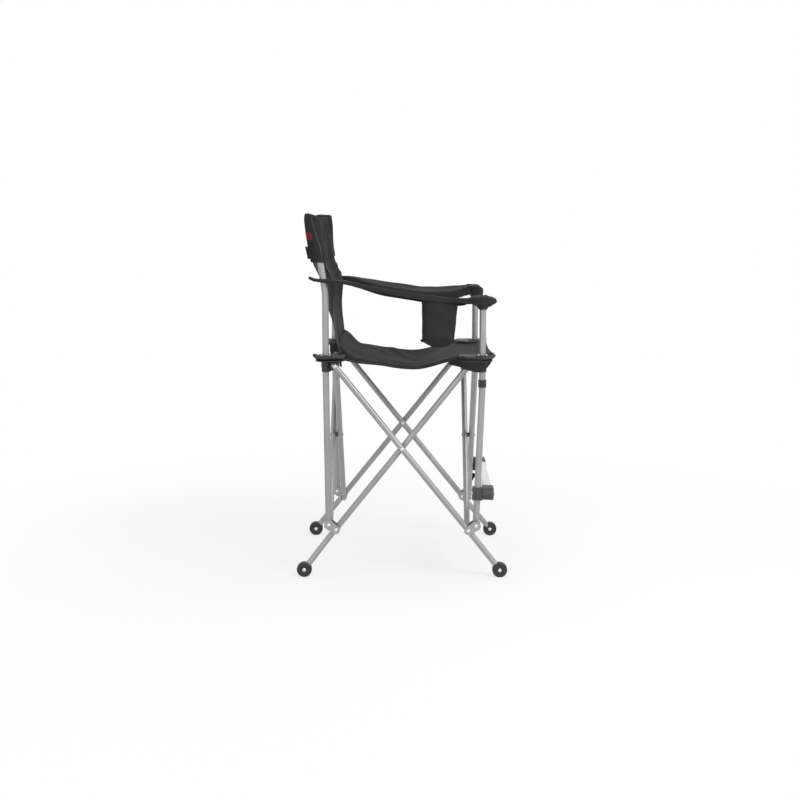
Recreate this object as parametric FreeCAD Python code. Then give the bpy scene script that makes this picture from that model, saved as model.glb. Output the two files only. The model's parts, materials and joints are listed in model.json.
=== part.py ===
import FreeCAD, Part
import math
import os

# Folding camping chair of bar height. Millimetres, +X to the front, +Y to the sitter's left, +Z up,
# origin on the floor at the middle of the four feet.

V = FreeCAD.Vector

# Scissor frame
PIVOT_SPAN = 450.0          # between the two lower pivots of each scissor
PIVOT_RISE = 562.0          # from the lower pivots up to the upper pivots
LOWER_PIVOT_Z = 160.0
SCISSOR_D = 20.0
SCISSOR_WALL = 1.2
SCISSOR_GAP = 4.0           # between the two tubes of a scissor
END_PAST_PIVOT = 4.0        # straight tube past a pivot, before its rounded end
CROSS_SET = 10.5            # front and rear scissor planes, outward from the side pivots

# Posts
POST_D = 22.0
POST_WALL = 1.5
POST_END_LIFT = 5.0         # lower end above the lower pivots
POST_RIVET_LIFT = 17.0      # bracket rivet above the lower pivots
POST_BEND_RADIUS = 150.0
REAR_POST_SET = 30.5        # rear post axis behind the rear pivots, at the hubs
REAR_POST_FOOT_SET = 24.5
REAR_POST_LOW_BEND_DROP = 42.0      # below the upper pivots
REAR_POST_BEND_RISE = 243.0         # above the upper pivots
REAR_POST_TOP_RISE = 490.0
BACK_LEAN = 8.5             # degrees
FRONT_POST_SET = 44.0       # front post axis ahead of the front pivots, at the hubs
FRONT_POST_FOOT_SET = 26.0
FRONT_POST_BEND_DROP = 82.0         # below the upper pivots
FRONT_POST_TOP_RISE = 213.0         # above the upper pivots

# Rivets and clearances
RIVET_D = 6.0
RIVET_HEAD_D = 13.0
RIVET_HEAD_H = 2.5
RIVET_CROWN_D = 2.0         # flat on top of a rivet's or bolt's dome
PIN_CLEARANCE = 0.05        # radial, round every rivet and bolt
SLIDE_CLEARANCE = 0.3       # between pieces that move past each other
PLATE_CLEARANCE = 0.5       # between a tube and the bracket plates beside it
CORNER_CLEARANCE = 2.0      # between a scissor's tube end and the rivet heads of the corner

# Lower brackets
PLATE = 2.0
BRACKET_POST_R = 16.0
BRACKET_PIVOT_R = 14.0
LUG_R = 12.0
LUG_CORNER_R = 1.0

# Hubs
HUB_WALL = 2.5
HUB_SKIRT = 20.0            # sleeve below the pivot
HUB_FLANGE_LIFT = 16.0      # underside of the flange above the pivot
HUB_FLANGE = 4.0
HUB_FLANGE_POST_R = 34.0
HUB_FLANGE_PIVOT_R = 32.0
HUB_FLANGE_CROSS_R = 16.0
CHEEK = 2.5                 # cover plate on the outside of each front hub
CHEEK_SET = 5.0             # cheek outside the scissor tubes
CHEEK_DROP = 15.0           # cheek below the pivot

# Feet
FOOT_D = 51.0
FOOT_WIDTH = 26.0
FOOT_FLAT = 0.5             # how far the tread is cut flat where it stands
FOOT_ROUND = 5.0
FOOT_SPLAY = 19.0           # middle of each foot outside the side scissors
LEG_PAST_FOOT = 9.0         # tube past the foot's middle
SPLAY_START = 38.0          # straight leg below the lower pivot
SPLAY_BEND_RADIUS = 60.0

# Armrests
ARM_WIDTH = 90.0
ARM_THICK = 18.0
ARM_REAR_OVERHANG = 42.0    # behind the rear post
ARM_FRONT_OVERHANG = 42.0   # ahead of the front post
ARM_REAR_LIFT = 41.0        # middle of the strip above the rear post's bend
ARM_REAR_LEVEL = 60.0       # level stretch ahead of the rear post
ARM_TAB_R = 16.0            # rounded rear end, round the post
ARM_WIDEN_LENGTH = 201.0    # ahead of the rear post, where the strip has widened from its tab
ARM_SLOPE_LENGTH = 231.0    # sloping stretch down to the middle of the strip
ARM_DIP = 4.0               # middle of the strip below its front end
ARM_BEND_RADIUS = 120.0
ARM_CAP_STEP = 60.0         # sloping stretch up to the front cap
ARM_CAP_LEAD = 14.0         # level stretch before the front cap
ARM_FRONT_ROUND = 40.0
ARM_POST_CLEARANCE = 1.0
CAP_LOW_D = 27.0
CAP_TOP_D = 60.0
CAP_HEIGHT = 24.0
CAP_RIM = 5.0
CAP_GRIP = 24.0             # how far the cap reaches down over the post
COLLAR_D = 27.0
COLLAR_HEIGHT = 25.0
COLLAR_LIFT = 10.0          # above the front post's bend

# Cup holder
CUP_LENGTH = 115.0
CUP_WIDTH = 84.0
CUP_DEPTH = 142.0
CUP_WALL = 3.0
CUP_TAPER = 6.0             # each side, from mouth to base
CUP_CORNER = 30.0
CUP_SET = 142.0             # middle of the pocket behind the front post
CUP_LIP = 6.0               # mouth set in from the outside of the pocket

# Seat
SEAT_THICK = 5.0
SEAT_REAR_SET = 22.0        # rear edge ahead of the rear pivots
SEAT_FRONT_SET = 28.0       # front edge ahead of the front posts
SEAT_POST_GAP = 7.0         # between the seat's side edges and the posts
SEAT_SEAM_GAP = 0.4         # half the gap at the middle seam
SEAT_EDGE_SAG = 32.0
SEAT_MIDDLE_SAG = 46.0
SEAT_END_SAG = 6.0          # sag of the front and rear edges at the middle
SEAT_LOW_X = 40.0
SEAT_CROWN = 6.0            # how far each half bellies down between seam and edge
SEAT_SPANS = 4              # sections on each side of the lowest one

# Backrest
BACK_THICK = 8.0
BACK_TOP_DROP = 19.0        # top edge below the sleeves' tops
SLEEVE_PAST_POST = 14.0
SLEEVE_HEIGHT = 158.0
SLEEVE_LENGTH = 50.0
SLEEVE_WALL = 2.5
BACK_SEAT_GAP = 2.0
BACK_SLEEVE_GAP = 0.8
# Height above the rear posts' bend, front face of the backrest ahead of the post axis there, how far
# the side edges stay inside the post axis, and how far the middle sags back between them
BACK_STATIONS = [
    (101.0, 19.0, 18.0, 58.0),
    (25.0, 35.0, 32.0, 58.0),
    (-65.0, 29.0, 30.0, 36.0),
    (-150.0, 37.0, 38.0, 12.0),
]
BACK_TOP_FRONT = 16.0
BACK_TOP_SAG = 50.0
BACK_SLEEVED_LENGTH = 86.0  # the side edges follow the sleeves this far down from their tops
BACK_FOOT_FRONT = 48.0
BACK_FOOT_INSET = 62.0
BACK_FOOT_SAG = 4.0

# Footrest
FOOTREST_LIFT = 126.0       # pivot bolt above the lower pivots
FOOTREST_DEPTH = 32.0
FOOTREST_THICK = 20.0
FOOTREST_WALL = 2.0
FOOTREST_RISE = 7.0         # middle of the panel above its pivot
FOOTREST_CAP_R = 21.0
FOOTREST_CAP_DEPTH = 37.0
FOOTREST_CAP_LENGTH = 45.0
FOOTREST_ROUND = 4.0
CLAMP_WALL = 6.0
CLAMP_GAP = 0.6             # between clamp and swinging end cap
SADDLE = 5.0
SADDLE_LIP = 14.0
BOLT_D = 8.0
BOLT_HEAD_D = 15.0
BOLT_HEAD_H = 4.0

# Sizes that follow from those above
HALF_SPAN = PIVOT_SPAN / 2
UPPER_PIVOT_Z = LOWER_PIVOT_Z + PIVOT_RISE
CROSSING_Z = LOWER_PIVOT_Z + PIVOT_RISE / 2
SLOPE = math.atan2(PIVOT_RISE, PIVOT_SPAN)
SCISSOR_R = SCISSOR_D / 2
POST_R = POST_D / 2
RIVET_HOLE_R = RIVET_D / 2 + PIN_CLEARANCE
TUBE_SET = SCISSOR_R + SCISSOR_GAP / 2
TUBE_FACE = TUBE_SET + SCISSOR_R
LUG = SCISSOR_GAP - 2 * SLIDE_CLEARANCE
END_REACH = END_PAST_PIVOT + SCISSOR_R
SIDE_Y = (HALF_SPAN + END_REACH + CORNER_CLEARANCE + RIVET_HEAD_H + PLATE
          + PLATE_CLEARANCE + TUBE_FACE)
CROSS_X = HALF_SPAN + CROSS_SET
FLANGE_Z = UPPER_PIVOT_Z + HUB_FLANGE_LIFT
FLANGE_TOP_Z = FLANGE_Z + HUB_FLANGE
POST_END_Z = LOWER_PIVOT_Z + POST_END_LIFT
POST_RIVET_Z = LOWER_PIVOT_Z + POST_RIVET_LIFT
REAR_POST_LOW_BEND_Z = UPPER_PIVOT_Z - REAR_POST_LOW_BEND_DROP
REAR_POST_BEND_Z = UPPER_PIVOT_Z + REAR_POST_BEND_RISE
REAR_POST_TOP_Z = UPPER_PIVOT_Z + REAR_POST_TOP_RISE
FRONT_POST_BEND_Z = UPPER_PIVOT_Z - FRONT_POST_BEND_DROP
FRONT_POST_TOP_Z = UPPER_PIVOT_Z + FRONT_POST_TOP_RISE
FRONT_POST_X = HALF_SPAN + FRONT_POST_SET
CAP_FOOT_Z = FRONT_POST_TOP_Z - CAP_GRIP
ARM_REAR_Z = REAR_POST_BEND_Z + ARM_REAR_LIFT
ARM_FRONT_Z = CAP_FOOT_Z + CAP_HEIGHT + CAP_RIM + SLIDE_CLEARANCE + ARM_THICK / 2
ARM_LOW_Z = ARM_FRONT_Z - ARM_DIP
CUP_X = FRONT_POST_X - CUP_SET
SLEEVE_TOP_Z = REAR_POST_TOP_Z + SLEEVE_PAST_POST
SLEEVE_FOOT_Z = SLEEVE_TOP_Z - SLEEVE_HEIGHT
FOOTREST_Z = LOWER_PIVOT_Z + FOOTREST_LIFT
FOOT_R = FOOT_D / 2
FOOT_Z = FOOT_R - FOOT_FLAT
FOOT_X = HALF_SPAN + (LOWER_PIVOT_Z - FOOT_Z) / math.tan(SLOPE)
FOOT_Y = SIDE_Y + FOOT_SPLAY

# Corners: name, side of X, side of Y. A corner is built with both coordinates counted outward.
CORNERS = [
    ("front_left", 1, 1),
    ("front_right", 1, -1),
    ("rear_left", -1, 1),
    ("rear_right", -1, -1),
]


def save(name, *solids):
    """Write the solids of one piece, or of one group of like fasteners, under the piece's name."""
    found = [solid for shape in solids for solid in shape.Solids]
    shape = found[0] if len(found) == 1 else Part.makeCompound(found)
    if not shape.isValid():
        raise ValueError(name + " is not a valid solid")
    shape.exportStep("parts/" + name + ".step")


def fuse(shapes):
    return shapes[0].multiFuse(shapes[1:]).removeSplitter()


def to_corner(shape, side_x, side_y):
    """Mirror a shape that was built with outward coordinates to its own corner."""
    if side_x < 0:
        shape = shape.mirror(V(), V(1, 0, 0))
    if side_y < 0:
        shape = shape.mirror(V(), V(0, 1, 0))
    return shape


def box(low, high):
    size = [b - a for a, b in zip(low, high)]
    return Part.makeBox(size[0], size[1], size[2], V(*low))


def drill(shape, points, direction, radius):
    """Cut a round hole right through a shape at each point."""
    reach = 2 * SIDE_Y
    for point in points:
        start = point - direction * (reach / 2)
        shape = shape.cut(Part.makeCylinder(radius, reach, start, direction))
    return shape


def path_wire(points, bend_radius):
    """Straight runs through the points, with a tangent arc at each bend."""
    edges = []
    start = points[0]
    for before, corner, after in zip(points, points[1:], points[2:]):
        run_in = (corner - before).normalize()
        run_out = (after - corner).normalize()
        turn = run_in.getAngle(run_out)
        setback = bend_radius * math.tan(turn / 2)
        arc_start = corner - run_in * setback
        arc_end = corner + run_out * setback
        inward = (run_out - run_in).normalize()
        centre = corner + inward * (bend_radius / math.cos(turn / 2))
        arc_middle = centre - inward * bend_radius
        edges.append(Part.LineSegment(start, arc_start).toShape())
        edges.append(Part.Arc(arc_start, arc_middle, arc_end).toShape())
        start = arc_end
    edges.append(Part.LineSegment(start, points[-1]).toShape())
    return Part.Wire(edges)


def rod(points, bend_radius, radius):
    wire = path_wire(points, bend_radius)
    circle = Part.Wire(Part.makeCircle(radius, points[0], points[1] - points[0]))
    return wire.makePipeShell([circle], True, False)


def bent_tube(points, bend_radius, diameter, wall):
    outside = rod(points, bend_radius, diameter / 2)
    return outside.cut(rod(points, bend_radius, diameter / 2 - wall))


def round_outline(circles, place):
    """Face round a set of circles (u, v, radius), listed anticlockwise. place puts (u, v) in space."""
    count = len(circles)
    tangents = []
    for index, (u, v, radius) in enumerate(circles):
        next_u, next_v, next_radius = circles[(index + 1) % count]
        distance = math.hypot(next_u - u, next_v - v)
        heading = math.atan2(next_v - v, next_u - u)
        normal = heading - math.pi / 2 + math.asin((radius - next_radius) / distance)
        tangents.append(normal)

    def on_circle(index, angle):
        u, v, radius = circles[index]
        return place(u + radius * math.cos(angle), v + radius * math.sin(angle))

    edges = []
    for index in range(count):
        following = (index + 1) % count
        angle_in = tangents[index]
        angle_out = tangents[following]
        while angle_out < angle_in:
            angle_out += 2 * math.pi
        first = on_circle(following, angle_in)
        middle = on_circle(following, (angle_in + angle_out) / 2)
        last = on_circle(following, angle_out)
        edges.append(Part.LineSegment(on_circle(index, angle_in), first).toShape())
        edges.append(Part.Arc(first, middle, last).toShape())
    return Part.Face(Part.Wire(edges))


def rounded_rectangle(low_u, high_u, low_v, high_v, corner, place):
    circles = [
        (low_u + corner, low_v + corner, corner),
        (high_u - corner, low_v + corner, corner),
        (high_u - corner, high_v - corner, corner),
        (low_u + corner, high_v - corner, corner),
    ]
    return round_outline(circles, place)


def side_plate(circles, low_y, thick):
    """Plate along a side of the chair, from circles in X and Z."""
    face = round_outline(circles, lambda u, v: V(u, low_y, v))
    return face.extrude(V(0, thick, 0))


def cross_plate(circles, low_x, thick):
    """Plate across the front or rear of the chair, from circles in Y and Z."""
    face = round_outline(circles, lambda u, v: V(low_x, u, v))
    return face.extrude(V(thick, 0, 0))


def disc(radius, start, direction, length):
    return Part.makeCylinder(radius, length, start, direction)


def rivet(start, end, shank_d, head_d, head_h):
    """Shank from start to end with a domed head at both."""
    length = (end - start).Length
    head_r = head_d / 2
    shank_r = shank_d / 2
    crown_r = RIVET_CROWN_D / 2
    dome = crown_r + (head_r - crown_r) / math.sqrt(2)
    rise = head_h / math.sqrt(2)
    top = length + head_h
    edges = [
        Part.LineSegment(V(0, 0, -head_h), V(crown_r, 0, -head_h)).toShape(),
        Part.Arc(V(crown_r, 0, -head_h), V(dome, 0, -rise), V(head_r, 0, 0)).toShape(),
        Part.LineSegment(V(head_r, 0, 0), V(shank_r, 0, 0)).toShape(),
        Part.LineSegment(V(shank_r, 0, 0), V(shank_r, 0, length)).toShape(),
        Part.LineSegment(V(shank_r, 0, length), V(head_r, 0, length)).toShape(),
        Part.Arc(V(head_r, 0, length), V(dome, 0, length + rise), V(crown_r, 0, top)).toShape(),
        Part.LineSegment(V(crown_r, 0, top), V(0, 0, top)).toShape(),
        Part.LineSegment(V(0, 0, top), V(0, 0, -head_h)).toShape(),
    ]
    solid = Part.Face(Part.Wire(edges)).revolve(V(), V(0, 0, 1), 360)
    turn = FreeCAD.Rotation(V(0, 0, 1), end - start)
    solid.Placement = FreeCAD.Placement(start, turn)
    return solid


def frame_rivet(start, end):
    return rivet(start, end, RIVET_D, RIVET_HEAD_D, RIVET_HEAD_H)


# Posts

def post_points(front):
    """Post axis from its lower end up, in outward coordinates."""
    if front:
        return [
            V(HALF_SPAN + FRONT_POST_FOOT_SET, SIDE_Y, POST_END_Z),
            V(FRONT_POST_X, SIDE_Y, FRONT_POST_BEND_Z),
            V(FRONT_POST_X, SIDE_Y, FRONT_POST_TOP_Z),
        ]
    upright = HALF_SPAN + REAR_POST_SET
    lean = (REAR_POST_TOP_Z - REAR_POST_BEND_Z) * math.tan(math.radians(BACK_LEAN))
    return [
        V(HALF_SPAN + REAR_POST_FOOT_SET, SIDE_Y, POST_END_Z),
        V(upright, SIDE_Y, REAR_POST_LOW_BEND_Z),
        V(upright, SIDE_Y, REAR_POST_BEND_Z),
        V(upright + lean, SIDE_Y, REAR_POST_TOP_Z),
    ]


def post_x(front, z):
    """Outward distance of a post's axis at a height."""
    points = post_points(front)
    for low, high in zip(points, points[1:]):
        if z <= high.z or high is points[-1]:
            return low.x + (high.x - low.x) * (z - low.z) / (high.z - low.z)


def footrest_lean():
    """Lean of the front posts where the footrest is clamped, in radians."""
    return math.atan2(FRONT_POST_SET - FRONT_POST_FOOT_SET, FRONT_POST_BEND_Z - POST_END_Z)


def footrest_place(side_y):
    """Frame of a footrest clamp: X square to the post and forward, Z along the post."""
    turn = FreeCAD.Rotation(V(0, 1, 0), math.degrees(footrest_lean()))
    return FreeCAD.Placement(V(post_x(True, FOOTREST_Z), side_y * SIDE_Y, FOOTREST_Z), turn)


def make_post(name, side_x, side_y):
    front = side_x > 0
    tube = bent_tube(post_points(front), POST_BEND_RADIUS, POST_D, POST_WALL)
    rivet_point = V(post_x(front, POST_RIVET_Z), SIDE_Y, POST_RIVET_Z)
    tube = drill(tube, [rivet_point], V(0, 1, 0), RIVET_HOLE_R)
    tube = to_corner(tube, side_x, side_y)
    if front:
        place = footrest_place(side_y)
        bolt_way = place.Rotation.multVec(V(1, 0, 0))
        tube = drill(tube, [place.Base], bolt_way, BOLT_D / 2 + PIN_CLEARANCE)
    save("post_" + name, tube)


# Lower brackets

def bracket_span(tube_side):
    """Inner faces of a bracket's two plates, round the post and the side tube beside it."""
    tube_face = TUBE_FACE + PLATE_CLEARANCE
    post_face = POST_R + PLATE_CLEARANCE
    if tube_side > 0:
        return SIDE_Y - post_face, SIDE_Y + tube_face
    return SIDE_Y - tube_face, SIDE_Y + post_face


def make_bracket(name, side_x, side_y):
    front = side_x > 0
    twist = side_x * side_y
    low_y, high_y = bracket_span(-twist)
    rivet_x = post_x(front, POST_RIVET_Z)
    circles = [
        (HALF_SPAN, LOWER_PIVOT_Z, BRACKET_PIVOT_R),
        (rivet_x, POST_RIVET_Z, BRACKET_POST_R),
    ]
    web_x = rivet_x + POST_R + PLATE_CLEARANCE
    web_half = BRACKET_POST_R / 2
    lug_root = low_y - PLATE / 2 - LUG_CORNER_R
    lug_circles = [
        (HALF_SPAN, LOWER_PIVOT_Z, LUG_R),
        (lug_root, LOWER_PIVOT_Z - LUG_R / 2, LUG_CORNER_R),
        (lug_root, LOWER_PIVOT_Z + LUG_R / 2, LUG_CORNER_R),
    ]
    solids = [
        side_plate(circles, low_y - PLATE, PLATE),
        side_plate(circles, high_y, PLATE),
        box((web_x, low_y - PLATE, POST_RIVET_Z - web_half),
            (web_x + PLATE, high_y + PLATE, POST_RIVET_Z + web_half)),
        cross_plate(lug_circles, CROSS_X - LUG / 2, LUG),
    ]
    pivot = V(HALF_SPAN, SIDE_Y, LOWER_PIVOT_Z)
    cross_pivot = V(CROSS_X, HALF_SPAN, LOWER_PIVOT_Z)
    bracket = fuse(solids)
    bracket = drill(bracket, [pivot, V(rivet_x, SIDE_Y, POST_RIVET_Z)], V(0, 1, 0), RIVET_HOLE_R)
    bracket = drill(bracket, [cross_pivot], V(1, 0, 0), RIVET_HOLE_R)
    save("bracket_" + name, to_corner(bracket, side_x, side_y))

    rivets = [
        frame_rivet(V(x, low_y - PLATE, z), V(x, high_y + PLATE, z))
        for x, z in ((HALF_SPAN, LOWER_PIVOT_Z), (rivet_x, POST_RIVET_Z))
    ]
    rivets.append(cross_rivet(LOWER_PIVOT_Z, twist))
    save("bracket_rivets_" + name, *[to_corner(item, side_x, side_y) for item in rivets])


def cross_rivet(z, tube_side):
    """Rivet of a front or rear scissor end: through the lug and the tube on one side of it."""
    lug_face = CROSS_X - tube_side * LUG / 2
    tube_face = CROSS_X + tube_side * (TUBE_FACE + SLIDE_CLEARANCE)
    return frame_rivet(V(lug_face, HALF_SPAN, z), V(tube_face, HALF_SPAN, z))


# Hubs

def make_hub(name, side_x, side_y):
    front = side_x > 0
    twist = side_x * side_y
    axis_x = post_x(front, UPPER_PIVOT_Z)
    bore_r = POST_R + SLIDE_CLEARANCE
    sleeve_r = bore_r + HUB_WALL
    sleeve_z = UPPER_PIVOT_Z - HUB_SKIRT
    flange = round_outline(
        [
            (axis_x, SIDE_Y, HUB_FLANGE_POST_R),
            (HALF_SPAN, SIDE_Y, HUB_FLANGE_PIVOT_R),
            (CROSS_X, HALF_SPAN, HUB_FLANGE_CROSS_R),
        ],
        lambda u, v: V(u, v, FLANGE_Z),
    ).extrude(V(0, 0, HUB_FLANGE))
    lug_top = FLANGE_Z + HUB_FLANGE / 2
    lug_y = SIDE_Y - LUG / 2
    lug_spread = LUG_R - LUG_CORNER_R
    lug_root = axis_x - bore_r - HUB_WALL / 2 - LUG_CORNER_R
    side_lug = [
        (HALF_SPAN, UPPER_PIVOT_Z, LUG_R),
        (lug_root, sleeve_z + 2 * LUG_CORNER_R, LUG_CORNER_R),
        (lug_root, lug_top - LUG_CORNER_R, LUG_CORNER_R),
        (HALF_SPAN - lug_spread, lug_top - LUG_CORNER_R, LUG_CORNER_R),
    ]
    cross_lug = [
        (HALF_SPAN, UPPER_PIVOT_Z, LUG_R),
        (HALF_SPAN + lug_spread, lug_top - LUG_CORNER_R, LUG_CORNER_R),
        (HALF_SPAN - lug_spread, lug_top - LUG_CORNER_R, LUG_CORNER_R),
    ]
    solids = [
        flange,
        disc(sleeve_r, V(axis_x, SIDE_Y, sleeve_z), V(0, 0, 1), FLANGE_TOP_Z - sleeve_z),
        side_plate(side_lug, lug_y, LUG),
        cross_plate(cross_lug, CROSS_X - LUG / 2, LUG),
    ]
    if front:
        solids.append(hub_cheek(axis_x, lug_top))
    hub = fuse(solids)
    hub = drill(hub, [V(axis_x, SIDE_Y, UPPER_PIVOT_Z)], V(0, 0, 1), bore_r)
    pivot = V(HALF_SPAN, lug_y, UPPER_PIVOT_Z)
    hub = hub.cut(disc(RIVET_HOLE_R, pivot, V(0, 1, 0), LUG))
    hub = drill(hub, [V(CROSS_X, HALF_SPAN, UPPER_PIVOT_Z)], V(1, 0, 0), RIVET_HOLE_R)
    save("hub_" + name, to_corner(hub, side_x, side_y))

    lug_face = SIDE_Y - twist * LUG / 2
    tube_face = SIDE_Y + twist * (TUBE_FACE + SLIDE_CLEARANCE)
    rivets = [
        frame_rivet(V(HALF_SPAN, lug_face, UPPER_PIVOT_Z), V(HALF_SPAN, tube_face, UPPER_PIVOT_Z)),
        cross_rivet(UPPER_PIVOT_Z, -twist),
    ]
    save("hub_rivets_" + name, *[to_corner(item, side_x, side_y) for item in rivets])


def hub_cheek(axis_x, top_z):
    """Tapering cover that hangs from a front hub's flange, outside the scissor tube's end."""
    low_y = SIDE_Y + TUBE_FACE + CHEEK_SET
    reach = low_y + CHEEK - SIDE_Y
    rear_x = HALF_SPAN - math.sqrt(HUB_FLANGE_PIVOT_R ** 2 - reach ** 2)
    front_x = axis_x + math.sqrt(HUB_FLANGE_POST_R ** 2 - reach ** 2)
    low_z = UPPER_PIVOT_Z - CHEEK_DROP
    points = [
        V(rear_x, low_y, top_z),
        V(front_x, low_y, top_z),
        V(axis_x, low_y, low_z),
        V(HALF_SPAN + LUG_R, low_y, low_z),
    ]
    outline = Part.makePolygon(points + points[:1])
    return Part.Face(outline).extrude(V(0, CHEEK, 0))


# Scissors

def closed_tube(points, open_end):
    """Scissor tube with rounded, closed ends. An open end stays square, for a foot."""
    tube = bent_tube(points, SPLAY_BEND_RADIUS, SCISSOR_D, SCISSOR_WALL)
    domes = [Part.makeSphere(SCISSOR_R, points[0], points[0] - points[1], 0, 90, 360)]
    if not open_end:
        domes.append(Part.makeSphere(SCISSOR_R, points[-1], points[-1] - points[-2], 0, 90, 360))
    return fuse([tube] + domes)


def make_side_tube(name, top_x, side_y, tube_side):
    """Side scissor tube, from its upper pivot at top_x down past the lower pivot to its foot."""
    tube_y = SIDE_Y + tube_side * TUBE_SET
    top = V(top_x * HALF_SPAN, tube_y, UPPER_PIVOT_Z)
    low = V(-top_x * HALF_SPAN, tube_y, LOWER_PIVOT_Z)
    down = (low - top).normalize()
    bend = low + down * SPLAY_START
    foot = V(-top_x * FOOT_X, FOOT_Y, FOOT_Z)
    leg = (foot - bend).normalize()
    foot_end = foot + leg * LEG_PAST_FOOT
    tube = closed_tube([top - down * END_PAST_PIVOT, bend, foot_end], True)
    pivots = [top, low, V(0, tube_y, CROSSING_Z), foot]
    tube = drill(tube, pivots, V(0, 1, 0), RIVET_HOLE_R)
    save("tube_" + name, to_corner(tube, 1, side_y))
    save("foot_" + name, to_corner(foot_shape(foot, leg), 1, side_y))

    half = V(0, FOOT_WIDTH / 2, 0)
    rivets = [frame_rivet(foot - half, foot + half)]
    return [to_corner(item, 1, side_y) for item in rivets]


def foot_shape(middle, leg):
    """Round foot, cut flat where it stands, with a socket for the leg."""
    start = middle - V(0, FOOT_WIDTH / 2, 0)
    wheel = disc(FOOT_R, start, V(0, 1, 0), FOOT_WIDTH)
    rims = [edge for edge in wheel.Edges if edge.Closed]
    wheel = wheel.makeFillet(FOOT_ROUND, rims)
    floor = box((middle.x - FOOT_D, start.y, -FOOT_D), (middle.x + FOOT_D, start.y + FOOT_WIDTH, 0))
    deep = LEG_PAST_FOOT + PIN_CLEARANCE
    mouth = middle - leg * FOOT_D
    socket = disc(SCISSOR_R + PIN_CLEARANCE, mouth, leg, FOOT_D + deep)
    wheel = wheel.cut(floor).cut(socket)
    return drill(wheel, [middle], V(0, 1, 0), RIVET_HOLE_R)


def make_cross_tube(name, side_x, top_y, tube_side):
    """Front or rear scissor tube, with its upper pivot at top_y."""
    tube_x = side_x * (CROSS_X + tube_side * TUBE_SET)
    top = V(tube_x, top_y * HALF_SPAN, UPPER_PIVOT_Z)
    low = V(tube_x, -top_y * HALF_SPAN, LOWER_PIVOT_Z)
    past = (low - top).normalize() * END_PAST_PIVOT
    tube = closed_tube([top - past, low + past], False)
    tube = drill(tube, [top, low, V(tube_x, 0, CROSSING_Z)], V(1, 0, 0), RIVET_HOLE_R)
    save("tube_" + name, tube)


def crossing(middle, way):
    """Rivet through a scissor's crossing, and the spacer between its tubes."""
    reach = way * (TUBE_FACE + SLIDE_CLEARANCE)
    half = way * (LUG / 2)
    spacer = disc(LUG_R - SCISSOR_GAP, middle - half, way, LUG)
    spacer = spacer.cut(disc(RIVET_HOLE_R, middle - half, way, LUG))
    return frame_rivet(middle - reach, middle + reach), spacer


def make_scissors():
    for side, side_y in (("left", 1), ("right", -1)):
        # The outer tube has its top at the left end as seen from outside
        outer_feet = make_side_tube(side + "_outer", side_y, side_y, 1)
        inner_feet = make_side_tube(side + "_inner", -side_y, side_y, -1)
        pin, spacer = crossing(V(0, side_y * SIDE_Y, CROSSING_Z), V(0, 1, 0))
        save("spacer_" + side, spacer)
        carrier = "_outer" if side_y > 0 else "_inner"
        for layer, rivets in (("_outer", outer_feet), ("_inner", inner_feet)):
            extra = [pin] if layer == carrier else []
            save("rivets_" + side + layer, *(rivets + extra))
    for side, side_x in (("front", 1), ("rear", -1)):
        make_cross_tube(side + "_outer", side_x, -side_x, 1)
        make_cross_tube(side + "_inner", side_x, side_x, -1)
        pin, spacer = crossing(V(side_x * CROSS_X, 0, CROSSING_Z), V(1, 0, 0))
        save("spacer_" + side, spacer)
        save("rivet_" + side, pin)


# Armrests

def arm_path():
    """Middle line of the left armrest strip, from behind the rear post to ahead of the front post."""
    rear_post = -post_x(False, ARM_REAR_Z)
    slope_x = rear_post + ARM_REAR_LEVEL
    level_x = FRONT_POST_X - CAP_TOP_D / 2 - ARM_CAP_LEAD
    return [
        V(rear_post - ARM_REAR_OVERHANG, SIDE_Y, ARM_REAR_Z),
        V(slope_x, SIDE_Y, ARM_REAR_Z),
        V(slope_x + ARM_SLOPE_LENGTH, SIDE_Y, ARM_LOW_Z),
        V(level_x - ARM_CAP_STEP, SIDE_Y, ARM_LOW_Z),
        V(level_x, SIDE_Y, ARM_FRONT_Z),
        V(FRONT_POST_X + ARM_FRONT_OVERHANG, SIDE_Y, ARM_FRONT_Z),
    ]


def arm_shape():
    points = arm_path()
    path = path_wire(points, ARM_BEND_RADIUS)
    start = points[0]
    edge = ARM_THICK / 2 - SLIDE_CLEARANCE
    section = rounded_rectangle(
        -ARM_WIDTH / 2, ARM_WIDTH / 2, -ARM_THICK / 2, ARM_THICK / 2, edge,
        lambda u, v: start + V(0, u, v),
    )
    strip = path.makePipeShell([section.OuterWire], True, False)
    spread = ARM_WIDTH / 2 - ARM_FRONT_ROUND
    wide_x = ARM_WIDEN_LENGTH - post_x(False, ARM_REAR_Z)
    front_x = points[-1].x - ARM_FRONT_ROUND
    keep = round_outline(
        [
            (start.x + ARM_TAB_R, SIDE_Y, ARM_TAB_R),
            (wide_x, SIDE_Y - spread, ARM_FRONT_ROUND),
            (front_x, SIDE_Y - spread, ARM_FRONT_ROUND),
            (front_x, SIDE_Y + spread, ARM_FRONT_ROUND),
            (wide_x, SIDE_Y + spread, ARM_FRONT_ROUND),
        ],
        lambda u, v: V(u, v, CAP_FOOT_Z),
    ).extrude(V(0, 0, REAR_POST_TOP_Z - CAP_FOOT_Z))
    strip = strip.common(keep)
    lean = math.radians(BACK_LEAN)
    post_way = V(-math.sin(lean), 0, math.cos(lean))
    post_point = V(-post_x(False, ARM_REAR_Z), SIDE_Y, ARM_REAR_Z)
    reach = SLEEVE_LENGTH
    hole = disc(POST_R + ARM_POST_CLEARANCE, post_point - post_way * reach, post_way, 2 * reach)
    return strip.cut(hole)


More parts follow.
